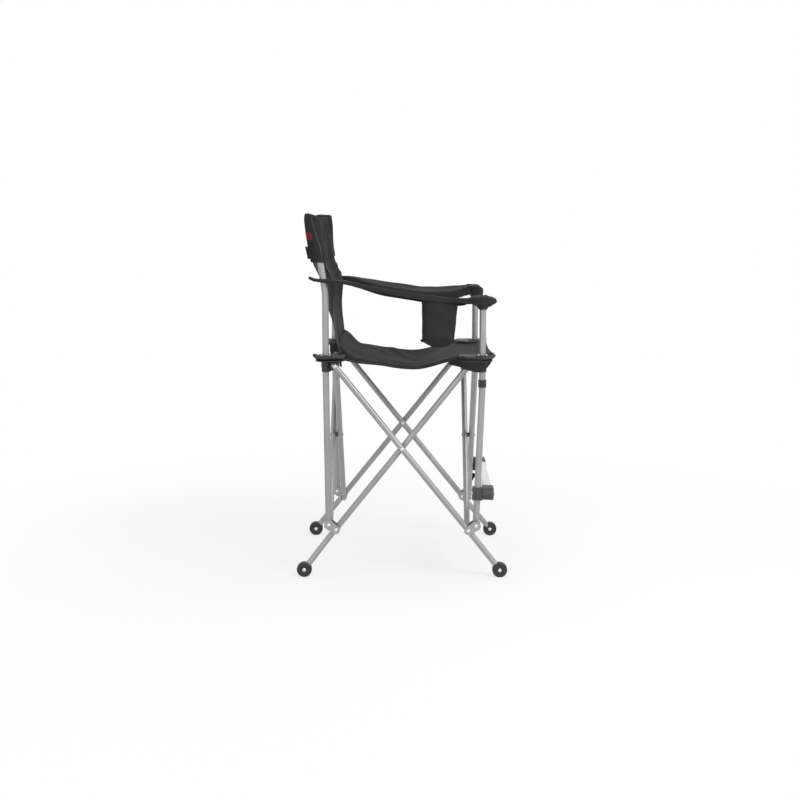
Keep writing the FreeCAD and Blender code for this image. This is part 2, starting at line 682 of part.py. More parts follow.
def cup_outline(inset, taper, z):
    return rounded_rectangle(
        CUP_X - CUP_LENGTH / 2 + inset + taper, CUP_X + CUP_LENGTH / 2 - inset - taper,
        SIDE_Y - CUP_WIDTH / 2 + inset + taper, SIDE_Y + CUP_WIDTH / 2 - inset - taper,
        CUP_CORNER - inset, lambda u, v: V(u, v, z),
    ).OuterWire


def make_armrests():
    arm = arm_shape()
    save("armrest_left", arm)
    arm_low_z = ARM_LOW_Z - ARM_THICK / 2
    mouth = Part.Face(cup_outline(CUP_WALL + CUP_LIP, 0, arm_low_z - ARM_THICK))
    holed = arm.cut(mouth.extrude(V(0, 0, 4 * ARM_THICK)))
    save("armrest_right", to_corner(holed, 1, -1))

    top_z = arm_low_z - SLIDE_CLEARANCE
    foot_z = top_z - CUP_DEPTH
    outside = Part.makeLoft([cup_outline(0, CUP_TAPER, foot_z), cup_outline(0, 0, top_z)], True)
    inside = Part.makeLoft(
        [cup_outline(CUP_WALL, CUP_TAPER, foot_z + CUP_WALL), cup_outline(CUP_WALL, 0, top_z)], True)
    save("cup_holder", to_corner(outside.cut(inside), 1, -1))

    for name, side_x, side_y in CORNERS:
        if side_x > 0:
            save("arm_cap_" + name, to_corner(arm_cap(), side_x, side_y))
    save("collar_front_right", to_corner(collar(), 1, -1))


def arm_cap():
    """Funnel on a front post's top, which carries the armrest's front end."""
    axis = V(FRONT_POST_X, SIDE_Y, CAP_FOOT_Z)
    cone = Part.makeCone(CAP_LOW_D / 2, CAP_TOP_D / 2, CAP_HEIGHT, axis)
    rim = disc(CAP_TOP_D / 2, axis + V(0, 0, CAP_HEIGHT), V(0, 0, 1), CAP_RIM)
    socket = disc(POST_R + PIN_CLEARANCE, axis, V(0, 0, 1), CAP_GRIP)
    return cone.fuse(rim).cut(socket)


def collar():
    axis = V(FRONT_POST_X, SIDE_Y, FRONT_POST_BEND_Z + COLLAR_LIFT)
    ring = disc(COLLAR_D / 2, axis, V(0, 0, 1), COLLAR_HEIGHT)
    return ring.cut(disc(POST_R + PIN_CLEARANCE, axis, V(0, 0, 1), COLLAR_HEIGHT))


# Seat

def seat_hub_x():
    """Where the hubs' flanges begin under the seat, from the chair's middle."""
    return HALF_SPAN - HUB_FLANGE_PIVOT_R


def seat_section(x, half_width):
    """Section of the left seat half: a thin strip from the middle seam to the side edge."""
    hub_side = seat_hub_x() if x > SEAT_LOW_X else -seat_hub_x()
    away = min(1.0, (x - SEAT_LOW_X) / (hub_side - SEAT_LOW_X))
    drop = (1 + math.cos(math.pi * away)) / 2
    edge_z = FLANGE_TOP_Z + SLIDE_CLEARANCE - SEAT_EDGE_SAG * drop
    seam_z = FLANGE_TOP_Z + SLIDE_CLEARANCE - SEAT_END_SAG - (SEAT_MIDDLE_SAG - SEAT_END_SAG) * drop
    belly_z = (edge_z + seam_z) / 2 - SEAT_CROWN * drop - SLIDE_CLEARANCE
    middle_y = (SEAT_SEAM_GAP + half_width) / 2
    low = [V(x, SEAT_SEAM_GAP, seam_z), V(x, middle_y, belly_z), V(x, half_width, edge_z)]
    high = [point + V(0, 0, SEAT_THICK) for point in low]
    edges = [
        Part.Arc(low[0], low[1], low[2]).toShape(),
        Part.LineSegment(low[2], high[2]).toShape(),
        Part.Arc(high[2], high[1], high[0]).toShape(),
        Part.LineSegment(high[0], low[0]).toShape(),
    ]
    return Part.Wire(edges)


def make_seat():
    half_width = SIDE_Y - POST_R - SEAT_POST_GAP
    rear_step = (SEAT_LOW_X + seat_hub_x()) / SEAT_SPANS
    front_step = (seat_hub_x() - SEAT_LOW_X) / SEAT_SPANS
    stations = [SEAT_REAR_SET - HALF_SPAN]
    stations += [-seat_hub_x() + index * rear_step for index in range(SEAT_SPANS)]
    stations += [SEAT_LOW_X + index * front_step for index in range(SEAT_SPANS + 1)]
    stations.append(FRONT_POST_X + SEAT_FRONT_SET)
    half = Part.makeLoft([seat_section(x, half_width) for x in stations], True)
    save("seat_left", half)
    save("seat_right", to_corner(half, 1, -1))


# Backrest

def back_section(z, front_set, inset, sag):
    """Section of the backrest at a height: a thin strip that is hollow towards the sitter."""
    half_width = SIDE_Y - inset
    front_x = -post_x(False, z) + front_set
    ends = [V(front_x, -half_width, z), V(front_x - sag, 0, z), V(front_x, half_width, z)]
    rear = [point - V(BACK_THICK, 0, 0) for point in ends]
    edges = [
        Part.Arc(ends[0], ends[1], ends[2]).toShape(),
        Part.LineSegment(ends[2], rear[2]).toShape(),
        Part.Arc(rear[2], rear[1], rear[0]).toShape(),
        Part.LineSegment(rear[0], ends[0]).toShape(),
    ]
    return Part.Wire(edges)


def sleeve_half_width():
    return POST_R + ARM_POST_CLEARANCE + SLEEVE_WALL


def sleeve_shape():
    """Cloth sleeve over the top of a rear post, closed above the post's end."""
    lean = math.tan(math.radians(BACK_LEAN))
    half_width = sleeve_half_width()
    reach = SLEEVE_LENGTH / 2 - half_width
    axis_x = post_x(False, SLEEVE_FOOT_Z)
    outline = round_outline(
        [(axis_x - reach, SIDE_Y, half_width), (axis_x + reach, SIDE_Y, half_width)],
        lambda u, v: V(u, v, SLEEVE_FOOT_Z),
    )
    sleeve = outline.extrude(V(SLEEVE_HEIGHT * lean, 0, SLEEVE_HEIGHT))
    way = V(math.sin(math.radians(BACK_LEAN)), 0, math.cos(math.radians(BACK_LEAN)))
    start = V(axis_x, SIDE_Y, SLEEVE_FOOT_Z) - way * POST_D
    deep = (REAR_POST_TOP_Z - SLEEVE_FOOT_Z) / way.z + POST_D + ARM_POST_CLEARANCE
    return sleeve.cut(disc(POST_R + ARM_POST_CLEARANCE, start, way, deep))


def make_back():
    foot_z = FLANGE_TOP_Z + SLIDE_CLEARANCE + SEAT_THICK + BACK_SEAT_GAP
    sleeve_inset = sleeve_half_width() + BACK_SLEEVE_GAP
    drops = (BACK_TOP_DROP, BACK_SLEEVED_LENGTH)
    stations = [(SLEEVE_TOP_Z - drop, BACK_TOP_FRONT, sleeve_inset, BACK_TOP_SAG) for drop in drops]
    stations += [(REAR_POST_BEND_Z + station[0],) + station[1:] for station in BACK_STATIONS]
    stations.append((foot_z, BACK_FOOT_FRONT, BACK_FOOT_INSET, BACK_FOOT_SAG))
    panel = Part.makeLoft([back_section(*station) for station in stations], True)
    save("back_panel", panel)
    for name, side_x, side_y in CORNERS:
        if side_x < 0:
            save("back_sleeve_" + name, to_corner(sleeve_shape(), side_x, side_y))


# Footrest, built in the frame of its right clamp

def footrest_span():
    return 2 * SIDE_Y


def clamp_front():
    return POST_R + CLAMP_WALL


def cap_rear():
    return clamp_front() + CLAMP_GAP


def clamp_shape(saddle):
    half = POST_R + CLAMP_WALL
    low_z = -FOOTREST_CAP_R
    solids = [box((-half, -half, low_z), (half, half, FOOTREST_CAP_R))]
    if saddle:
        shelf_z = low_z - SLIDE_CLEARANCE
        shelf_x = cap_rear() + FOOTREST_CAP_DEPTH + CLAMP_GAP
        solids.append(box((-half, -half, shelf_z - SADDLE), (half, half, low_z)))
        solids.append(box((half, -half, shelf_z - SADDLE), (shelf_x + SADDLE, half, shelf_z)))
        solids.append(box((shelf_x, -half, shelf_z - SADDLE), (shelf_x + SADDLE, half, low_z + SADDLE_LIP)))
    clamp = fuse(solids)
    clamp = drill(clamp, [V()], V(0, 0, 1), POST_R + PIN_CLEARANCE)
    return drill(clamp, [V()], V(1, 0, 0), BOLT_D / 2 + PIN_CLEARANCE)


def make_footrest():
    span = footrest_span()
    front = clamp_front()
    rear_x = cap_rear()
    front_x = rear_x + FOOTREST_CAP_DEPTH
    panel_x = rear_x + (FOOTREST_CAP_DEPTH - FOOTREST_DEPTH) / 2
    panel_z = FOOTREST_RISE - FOOTREST_THICK / 2
    profile = rounded_rectangle(
        panel_x, panel_x + FOOTREST_DEPTH, panel_z, panel_z + FOOTREST_THICK, FOOTREST_ROUND,
        lambda u, v: V(u, FOOTREST_CAP_LENGTH, v))
    hollow = rounded_rectangle(
        panel_x + FOOTREST_WALL, panel_x + FOOTREST_DEPTH - FOOTREST_WALL,
        panel_z + FOOTREST_WALL, panel_z + FOOTREST_THICK - FOOTREST_WALL, FOOTREST_WALL,
        lambda u, v: V(u, FOOTREST_CAP_LENGTH, v))
    along = V(0, span - 2 * FOOTREST_CAP_LENGTH, 0)
    panel = profile.extrude(along).cut(hollow.extrude(along))

    # The right cap turns round the pivot bolt and stops short of the panel's end on a square face
    eye = round_outline(
        [(0, 0, FOOTREST_CAP_R), (FOOTREST_CAP_LENGTH, 0, FOOTREST_CAP_R)],
        lambda u, v: V(rear_x, u, v)).extrude(V(FOOTREST_CAP_DEPTH, 0, 0))
    square = box((rear_x, -FOOTREST_CAP_R, -FOOTREST_CAP_R),
                 (front_x, FOOTREST_CAP_LENGTH, FOOTREST_CAP_R))
    cap_right = drill(eye.common(square), [V()], V(1, 0, 0), BOLT_D / 2 + PIN_CLEARANCE)
    cap_left = rounded_rectangle(
        rear_x, front_x, -FOOTREST_CAP_R, FOOTREST_CAP_R, FOOTREST_ROUND,
        lambda u, v: V(u, span - FOOTREST_CAP_LENGTH, v),
    ).extrude(V(0, FOOTREST_CAP_LENGTH + front, 0))

    bolt_rear = V(-front, 0, 0)
    pivot_bolt = rivet(bolt_rear, V(front_x + SLIDE_CLEARANCE, 0, 0), BOLT_D, BOLT_HEAD_D, BOLT_HEAD_H)
    shank = disc(BOLT_D / 2, bolt_rear, V(1, 0, 0), 2 * front - CLAMP_WALL / 2)
    head = disc(BOLT_HEAD_D / 2, bolt_rear, V(-1, 0, 0), BOLT_HEAD_H)
    fixing_bolt = fuse([shank, head])

    pieces = [
        ("footrest_panel", panel, -1),
        ("footrest_cap_right", cap_right, -1),
        ("footrest_cap_left", cap_left, -1),
        ("footrest_clamp_right", clamp_shape(False), -1),
        ("footrest_clamp_left", clamp_shape(True), 1),
        ("footrest_bolt_right", pivot_bolt, -1),
        ("footrest_bolt_left", fixing_bolt, 1),
    ]
    for name, shape, side_y in pieces:
        shape.Placement = footrest_place(side_y).multiply(shape.Placement)
        save(name, shape)


os.makedirs("parts", exist_ok=True)
for corner in CORNERS:
    make_post(*corner)
    make_bracket(*corner)
    make_hub(*corner)
make_scissors()
make_armrests()
make_seat()
make_back()
make_footrest()
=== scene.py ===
import json
import math

import bpy
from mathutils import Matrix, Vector, noise


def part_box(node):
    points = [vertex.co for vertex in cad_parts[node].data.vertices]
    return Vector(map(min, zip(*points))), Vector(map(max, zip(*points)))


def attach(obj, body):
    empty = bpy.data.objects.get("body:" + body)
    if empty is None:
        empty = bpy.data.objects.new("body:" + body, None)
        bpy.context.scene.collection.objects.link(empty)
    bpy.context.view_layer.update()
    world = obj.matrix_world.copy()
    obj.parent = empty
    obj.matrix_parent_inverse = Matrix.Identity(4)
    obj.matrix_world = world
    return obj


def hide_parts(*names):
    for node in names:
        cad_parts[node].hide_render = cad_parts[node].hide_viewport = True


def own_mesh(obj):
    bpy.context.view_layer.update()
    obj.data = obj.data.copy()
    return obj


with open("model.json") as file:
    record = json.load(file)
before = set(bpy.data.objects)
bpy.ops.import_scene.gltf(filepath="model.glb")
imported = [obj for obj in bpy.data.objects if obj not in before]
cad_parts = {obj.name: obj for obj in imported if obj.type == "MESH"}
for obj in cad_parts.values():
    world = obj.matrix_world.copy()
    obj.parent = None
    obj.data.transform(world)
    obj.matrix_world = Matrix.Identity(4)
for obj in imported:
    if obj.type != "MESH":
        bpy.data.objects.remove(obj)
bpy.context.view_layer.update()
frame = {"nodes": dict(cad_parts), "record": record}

# Folding camping chair of bar height. Metres, +X to the front, +Y to the sitter's left, +Z up.
# A side is 1 on the sitter's left and -1 on the right.

# Places taken from the frame
CAP_LOW, CAP_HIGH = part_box("arm_cap_front_left")
CUP_LOW, CUP_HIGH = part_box("cup_holder")
FRONT_POST_X = (CAP_LOW.x + CAP_HIGH.x) / 2
SIDE_Y = (CAP_LOW.y + CAP_HIGH.y) / 2
CUP_X = (CUP_LOW.x + CUP_HIGH.x) / 2
FLANGE_TOP_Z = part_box("hub_rear_left")[1].z

# Frame sizes that the cloth follows
PIVOT_X = 0.225
REAR_POST_X = -0.2555
POST_R = 0.011
POST_BEND_Z = 0.965
BACK_LEAN = math.tan(math.radians(8.5))

# Cloth thickness, and hems with the steps of their grid and those steps that are sewn
CLOTH = 0.0024
THIN_CLOTH = 0.0022
HEM_CLOTH = 0.0044
THIN_HEM_CLOTH = 0.0034
HEM = 0.02
HEM_LAST = 0.002
HEM_STEPS = [0.0, 0.002, 0.004, 0.010, 0.016, HEM - HEM_LAST, HEM]
HEM_SEAMS = [2, 5]

# Numbers of the materials in a cloth piece
PLAIN, THREAD, TAPE, PIPING, PATCH = range(5)


# Helpers

def smooth(low, high, value):
    share = min(1.0, max(0.0, (value - low) / (high - low)))
    return share * share * (3 - 2 * share)


def bell(value, middle, width, power=2):
    return math.exp(-((value - middle) / width) ** power)


def through(points, x):
    """Smooth value at x through a short list of (x, value) points, with no overshoot."""
    if x <= points[0][0]:
        return points[0][1]
    if x >= points[-1][0]:
        return points[-1][1]
    slopes = [(b[1] - a[1]) / (b[0] - a[0]) for a, b in zip(points, points[1:])]
    tangents = [slopes[0]]
    for before, after in zip(slopes, slopes[1:]):
        level = before * after <= 0
        tangents.append(0.0 if level else 2 * before * after / (before + after))
    tangents.append(slopes[-1])
    index = max(i for i in range(len(points) - 1) if points[i][0] <= x)
    (x0, y0), (x1, y1) = points[index], points[index + 1]
    width = x1 - x0
    t = (x - x0) / width
    rise = (2 * t ** 3 - 3 * t ** 2 + 1) * y0 + (-2 * t ** 3 + 3 * t ** 2) * y1
    turn = (t ** 3 - 2 * t ** 2 + t) * tangents[index] + (t ** 3 - t ** 2) * tangents[index + 1]
    return rise + width * turn


def row_at(rows, x):
    """Smooth values of a table's other columns where its first column is x."""
    return [through([(row[0], row[column]) for row in rows], x) for column in range(1, len(rows[0]))]


def spread(low, high, count):
    return [low + (high - low) * index / (count - 1) for index in range(count)]


def turns(count):
    """Even angles once round."""
    return [2 * math.pi * step / count for step in range(count)]


def crease(phase, sharpness=1.4, middle=0.4):
    """Sharp ridges with round hollows between them, above and below 0."""
    return (1 - abs(math.sin(phase))) ** sharpness - middle


def lumps(x, y, z, size):
    return noise.noise(Vector((x, y, z)) / size)


def rear_post_axis(z):
    return REAR_POST_X - max(0.0, z - POST_BEND_Z) * BACK_LEAN


def unit(vector, fallback=(0, 0, 1)):
    return vector.normalized() if vector.length > 1e-9 else Vector(fallback)


def facing(normal, side):
    """1 if a normal points to a side of the chair, or else -1."""
    return 1 if normal.y * side > 0 else -1


def lengths(points):
    """Length of a path up to each of its points."""
    total = [0.0]
    for a, b in zip(points, points[1:]):
        total.append(total[-1] + (b - a).length)
    return total


def edge_steps(width, inner, gap=0.0015):
    """Distances from an edge: close together over the hem, then evenly to the inner end."""
    return HEM_STEPS + spread(HEM + gap, width, inner)


def from_far_end(steps, count):
    return [count - 1 - step for step in steps]


def hem_thickness(edge, plain=CLOTH, hemmed=HEM_CLOTH):
    """Thickness of cloth at a distance from its edge."""
    return hemmed if edge < HEM - HEM_LAST / 2 else plain


class Made:
    """Points, faces, metric UVs and material numbers of a piece while it is being built."""

    def __init__(self):
        self.points = []
        self.faces = []
        self.uvs = []
        self.kinds = []

    def add(self, points, faces, uvs, kind):
        start = len(self.points)
        self.points += [tuple(point) for point in points]
        self.faces += [[start + index for index in face] for face in faces]
        self.uvs += uvs
        self.kinds += [kind] * len(faces)

    def piece(self, name, materials):
        mesh = bpy.data.meshes.new(name)
        mesh.from_pydata(self.points, [], self.faces)
        layer = mesh.uv_layers.new(name="metres")
        flat = [value for face in self.uvs for corner in face for value in corner]
        layer.data.foreach_set("uv", flat)
        for material in materials:
            mesh.materials.append(material)
        mesh.polygons.foreach_set("material_index", self.kinds)
        mesh.polygons.foreach_set("use_smooth", [True] * len(self.faces))
        mesh.update()
        piece = bpy.data.objects.new(name, mesh)
        bpy.context.scene.collection.objects.link(piece)
        return piece


def grid_normals(grid, ring):
    rows, columns = len(grid), len(grid[0])
    normals = []
    for i in range(rows):
        line = []
        for j in range(columns):
            down = grid[min(i + 1, rows - 1)][j] - grid[max(i - 1, 0)][j]
            if ring:
                across = grid[i][(j + 1) % columns] - grid[i][j - 1]
            else:
                across = grid[i][min(j + 1, columns - 1)] - grid[i][max(j - 1, 0)]
            line.append(unit(down.cross(across)))
        normals.append(line)
    return normals


def block_loop(block):
    """Rows and columns round the edge of a block, in order."""
    i0, i1, j0, j1 = block
    loop = [(i, j0) for i in range(i0, i1)] + [(i1, j) for j in range(j0, j1)]
    return loop + [(i, j1) for i in range(i1, i0, -1)] + [(i0, j) for j in range(j1, j0, -1)]


def shell(made, grid, thick, kind=PLAIN, ring=False, hole=None):
    """Closed cloth round a grid of points: two faces joined by a rounded rim. thick gives the
    thickness at a row and column, and hole is a block of rows and columns that is left open."""
    rows, columns = len(grid), len(grid[0])
    normals = grid_normals(grid, ring)
    middle = grid[rows // 2]
    along_u = lengths(middle + middle[:1]) if ring else lengths(middle)
    along_v = lengths([row[columns // 2] for row in grid])
    index = {}
    points = []
    faces = []
    uvs = []

    def at(side, i, j):
        if ring:
            j %= columns
        ii = min(max(i, 0), rows - 1)
        jj = min(max(j, 0), columns - 1)
        border = (i, j) != (ii, jj)
        key = (0, i, j) if border else (side, i, j)
        if key not in index:
            here = grid[ii][jj]
            half = thick(ii, jj) / 2
            if border:
                away = Vector()
                if i != ii:
                    away += unit(here - grid[ii + (1 if i < 0 else -1)][jj])
                if j != jj:
                    away += unit(here - grid[ii][jj + (1 if j < 0 else -1)])
                point = here + unit(away) * half
            else:
                point = here + normals[i][j] * (side * half)
            index[key] = len(points)
            points.append(point)
        return index[key]

    def uv(i, j):
        return along_u[min(max(j, 0), len(along_u) - 1)], along_v[min(max(i, 0), rows - 1)]

    def quad(corners):
        faces.append([at(*corner) for corner in corners])
        uvs.append([uv(i, j) for _, i, j in corners])

    first, last = (0, columns) if ring else (-1, columns)
    for i in range(-1, rows):
        for j in range(first, last):
            if hole and hole[0] <= i < hole[1] and hole[2] <= j < hole[3]:
                continue
            around = [(i, j), (i + 1, j), (i + 1, j + 1), (i, j + 1)]
            quad([(1, a, b) for a, b in around])
            quad([(-1, a, b) for a, b in reversed(around)])
    if hole:
        loop = block_loop(hole)
        for a, b in zip(loop, loop[1:] + loop[:1]):
            quad([(1,) + a, (1,) + b, (-1,) + b, (-1,) + a])
    made.add(points, faces, uvs, kind)
    return normals


def ring_faces(rows, count, closed):
    """Faces between rows of points that each go once round."""
    faces = []
    for a in range(rows if closed else rows - 1):
        b = (a + 1) % rows
        for j in range(count):
            k = (j + 1) % count
            faces.append([a * count + j, a * count + k, b * count + k, b * count + j])
    return faces


# Size of the UVs that trim gets for each face
TRIM_UV = 0.001


def tube(made, path, radius, kind, sides=8, closed=False):
    """Round tube along a path, with flat ends."""
    count = len(path)
    points = []
    last_side = Vector((0, 0, 1))
    for index, point in enumerate(path):
        before = path[index - 1] if index or closed else point
        after = path[(index + 1) % count] if index < count - 1 or closed else point
        way = unit(after - before)
        side = unit(last_side - way * last_side.dot(way), (1, 0, 0))
        other = way.cross(side)
        last_side = side
        for turn in turns(sides):
            points.append(point + (side * math.cos(turn) + other * math.sin(turn)) * radius)
    faces = ring_faces(count, sides, closed)
    if not closed:
        faces.append(list(reversed(range(sides))))
        faces.append(list(range((count - 1) * sides, count * sides)))
    uvs = [[(TRIM_UV * corner, TRIM_UV * number) for corner in range(len(face))]
           for number, face in enumerate(faces)]
    made.add(points, faces, uvs, kind)


STITCH = 0.0036
STITCH_GAP = 0.0014
STITCH_WIDTH = 0.0009
STITCH_HEIGHT = 0.0007
# Height of a stitch's lower and upper face, and their half length and half width as shares of the stitch
STITCH_FACES = [(-STITCH_HEIGHT, 0.5, 0.5), (STITCH_HEIGHT, 0.36, 0.25)]
BOX_FACES = [[0, 3, 2, 1], [4, 5, 6, 7], [0, 1, 5, 4], [1, 2, 6, 5], [2, 3, 7, 6], [3, 0, 4, 7]]
BOX_UVS = [[(0, 0), (TRIM_UV, 0), (TRIM_UV, TRIM_UV), (0, TRIM_UV)]] * len(BOX_FACES)


def stitches(made, path, normals):
    """Row of separate stitches that lie along a path on the cloth."""
    run = lengths(path)
    count = int(run[-1] / (STITCH + STITCH_GAP))
    segment = 0
    for number in range(count):
        middle = (number + 0.5) * run[-1] / count
        while run[segment + 1] < middle:
            segment += 1
        a, b = path[segment], path[segment + 1]
        share = (middle - run[segment]) / max(1e-9, run[segment + 1] - run[segment])
        way = unit(b - a)
        up = unit(normals[segment].lerp(normals[segment + 1], share))
        side = up.cross(way)
        centre = a.lerp(b, share)
        points = []
        for height, long, wide in STITCH_FACES:
            for s, t in ((-1, -1), (1, -1), (1, 1), (-1, 1)):
                points.append(centre + way * (s * long * STITCH) + side * (t * wide * STITCH_WIDTH)
                              + up * height)
        made.add(points, BOX_FACES, BOX_UVS, THREAD)


def sew(made, grid, normals, thick, rows=(), columns=(), faces=(1, -1)):
    """Stitches along rows and columns of a cloth grid, on its faces."""
    lines = [[(i, column) for i in range(len(grid))] for column in columns]
    lines += [[(row, j) for j in range(len(grid[0]))] for row in rows]
    for line in lines:
        for face in faces:
            ups = [normals[i][j] * face for i, j in line]
            path = [grid[i][j] + up * (thick(i, j) / 2) for (i, j), up in zip(line, ups)]
            stitches(made, path, ups)


# Materials

def new_material(name, colour, roughness, metallic=0.0):
    material = bpy.data.materials.new(name)
    material.use_nodes = True
    shader = material.node_tree.nodes["Principled BSDF"]
    shader.inputs["Base Color"].default_value = (*colour, 1)
    shader.inputs["Roughness"].default_value = roughness
    shader.inputs["Metallic"].default_value = metallic
    return material, material.node_tree, shader


def node(tree, kind, **values):
    made = tree.nodes.new("ShaderNode" + kind)
    for name, value in values.items():
        if name in made.inputs:
            made.inputs[name].default_value = value
        else:
            setattr(made, name, value)
    return made


def math_node(tree, operation, *values):
    """Sum or other operation on numbers and sockets."""
    made = node(tree, "Math", operation=operation)
    for socket, value in zip(made.inputs, values):
        if isinstance(value, (int, float)):
            socket.default_value = value
        else:
            tree.links.new(value, socket)
    return made.outputs["Value"]


def noise_node(tree, scale, detail, stretch=(1, 1, 1)):
    """Noise in the piece's own metres, stretched along its axes."""
    coordinates = node(tree, "TexCoord")
    mapping = node(tree, "Mapping", Scale=stretch)
    texture = node(tree, "TexNoise", Scale=scale, Detail=detail)
    tree.links.new(coordinates.outputs["Object"], mapping.inputs["Vector"])
    tree.links.new(mapping.outputs["Vector"], texture.inputs["Vector"])
    return texture.outputs["Fac"]


def vary_colour(tree, shader, factor, low, high):
    ramp = node(tree, "ValToRGB")
    for element, position, colour in zip(ramp.color_ramp.elements, (0.3, 0.7), (low, high)):
        element.position = position
        element.color = (*colour, 1)
    tree.links.new(factor, ramp.inputs["Fac"])
    tree.links.new(ramp.outputs["Color"], shader.inputs["Base Color"])


def vary_roughness(tree, shader, factor, low, high):
    span = node(tree, "MapRange")
    span.inputs["To Min"].default_value = low
    span.inputs["To Max"].default_value = high
    tree.links.new(factor, span.inputs["Value"])
    tree.links.new(span.outputs["Result"], shader.inputs["Roughness"])


def raise_bump(tree, shader, height, strength, distance):
    bump = node(tree, "Bump", Strength=strength, Distance=distance)
    tree.links.new(height, bump.inputs["Height"])
    tree.links.new(bump.outputs["Normal"], shader.inputs["Normal"])


def weave_height(tree, pitch):
    """Plain weave from the cloth's metric UVs."""
    uv = node(tree, "UVMap", uv_map="metres")
    split = node(tree, "SeparateXYZ")
    tree.links.new(uv.outputs["UV"], split.inputs["Vector"])
    waves = []
    for axis in ("X", "Y"):
        phase = math_node(tree, "MULTIPLY", split.outputs[axis], 2 * math.pi / pitch)
        waves.append(math_node(tree, "SINE", phase))
    return math_node(tree, "MULTIPLY", *waves)


def cloth_material(name, low, high, pitch, strength):
    """Woven cloth with fine fibres and faint larger patches."""
    material, tree, shader = new_material(name, high, roughness=0.8)
    weave = weave_height(tree, pitch)
    fibre = noise_node(tree, scale=900, detail=2)
    patches = noise_node(tree, scale=14, detail=4)
    vary_colour(tree, shader, math_node(tree, "MULTIPLY_ADD", weave, 0.09, patches), low, high)
    vary_roughness(tree, shader, fibre, low=0.7, high=0.9)
    raise_bump(tree, shader, math_node(tree, "ADD", weave, fibre), strength, distance=0.0003)
    shader.inputs["Specular IOR Level"].default_value = 0.17
    shader.inputs["Sheen Weight"].default_value = 0.03
    shader.inputs["Sheen Roughness"].default_value = 0.45
    return material


def thread_material(name, colour, low, high):
    material, tree, shader = new_material(name, colour, roughness=0.7)
    vary_colour(tree, shader, noise_node(tree, scale=500, detail=2), low, high)
    return material


def paint_material(name, low, high, roughness):
    """Silver-grey powder coat with faint handling marks."""
    material, tree, shader = new_material(name, high, roughness, metallic=0.6)
    vary_colour(tree, shader, noise_node(tree, scale=9, detail=5), low, high)
    marks = noise_node(tree, scale=60, detail=4)
    vary_roughness(tree, shader, marks, roughness - 0.07, roughness + 0.08)
    raise_bump(tree, shader, noise_node(tree, scale=70, detail=2), strength=0.03, distance=0.0004)
    return material


def plastic_material(name, low, high, roughness):
    """Moulded plastic with a fine spark texture and worn, paler patches."""
    material, tree, shader = new_material(name, low, roughness)
    vary_colour(tree, shader, noise_node(tree, scale=45, detail=5), low, high)
    wear = noise_node(tree, scale=130, detail=3)
    vary_roughness(tree, shader, wear, roughness - 0.08, roughness + 0.1)
    raise_bump(tree, shader, noise_node(tree, scale=2200, detail=2), strength=0.25, distance=0.0003)
    return material


def metal_material(name, low, high, roughness, stretch=(1, 1, 1)):
    """Bare metal with fine marks, which a stretch can draw out along an axis."""
    material, tree, shader = new_material(name, high, roughness, metallic=1.0)
    marks = noise_node(tree, scale=700, detail=3, stretch=stretch)
    vary_colour(tree, shader, marks, low, high)
    vary_roughness(tree, shader, marks, roughness - 0.08, roughness + 0.1)
    raise_bump(tree, shader, marks, strength=0.08, distance=0.0001)
    return material


def grey(value, tint=0.0):
    return (value * (1 - tint), value, value * (1 + tint))


cloth = cloth_material("black_polyester", grey(0.0198, 0.02), grey(0.0308, 0.02),
                       pitch=0.0013, strength=0.5)
binding = cloth_material("black_binding_tape", grey(0.017, 0.02), grey(0.026, 0.02),
                         pitch=0.0022, strength=0.7)
# Piping is real cord along the seams of the black cloth; its grey, paler than that cloth, is painted
# highlight where the piping catches light.
piping = cloth_material("piping_with_painted_highlight", grey(0.070), grey(0.100), pitch=0.0018, strength=0.4)
patch_cloth = cloth_material("plain_red_patch", (0.16, 0.012, 0.030), (0.22, 0.018, 0.044),
                             pitch=0.001, strength=0.4)
coated_cloth = plastic_material("black_coated_cloth", grey(0.011), grey(0.017), roughness=0.42)
thread = thread_material("black_thread", grey(0.045), grey(0.035), grey(0.06))
paint = paint_material("silver_powder_coat", grey(0.31, 0.01), grey(0.38, 0.01), roughness=0.42)
bracket_paint = paint_material("silver_bracket_paint", grey(0.33, 0.01), grey(0.42, 0.01), roughness=0.38)
black_plastic = plastic_material("black_nylon", grey(0.012), grey(0.020), roughness=0.5)
grey_plastic = plastic_material("charcoal_plastic", grey(0.04), grey(0.058), roughness=0.5)
rivet_steel = metal_material("zinc_plated_steel", grey(0.55), grey(0.78), roughness=0.3)
aluminium = metal_material("satin_aluminium", grey(0.68), grey(0.8), roughness=0.34, stretch=(1, 0.01, 1))

SLOT_MATERIALS = {
    "frame_tube": paint,
    "bracket_steel": bracket_paint,
    "rivet_steel": rivet_steel,
    "black_plastic": black_plastic,
    "footrest_plastic": grey_plastic,
    "footrest_aluminium": aluminium,
    "black_cloth": cloth,
}
for part in frame["record"]["subparts"]:
    mesh = frame["nodes"][part["node"]].data
    mesh.materials.clear()
    mesh.materials.append(SLOT_MATERIALS[part["material_slot"]])

CLOTH_MATERIALS = [cloth, thread, binding, piping, patch_cloth]


def place(piece, body, slot, *nodes):
    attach(piece, body)
    if nodes:
        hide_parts(*nodes)
    return piece


def cloth_piece(made, name, body, *nodes):
    return place(made.piece(name, CLOTH_MATERIALS), body, "black_cloth", *nodes)


# Backrest: a sling between the rear posts, hollow towards the sitter

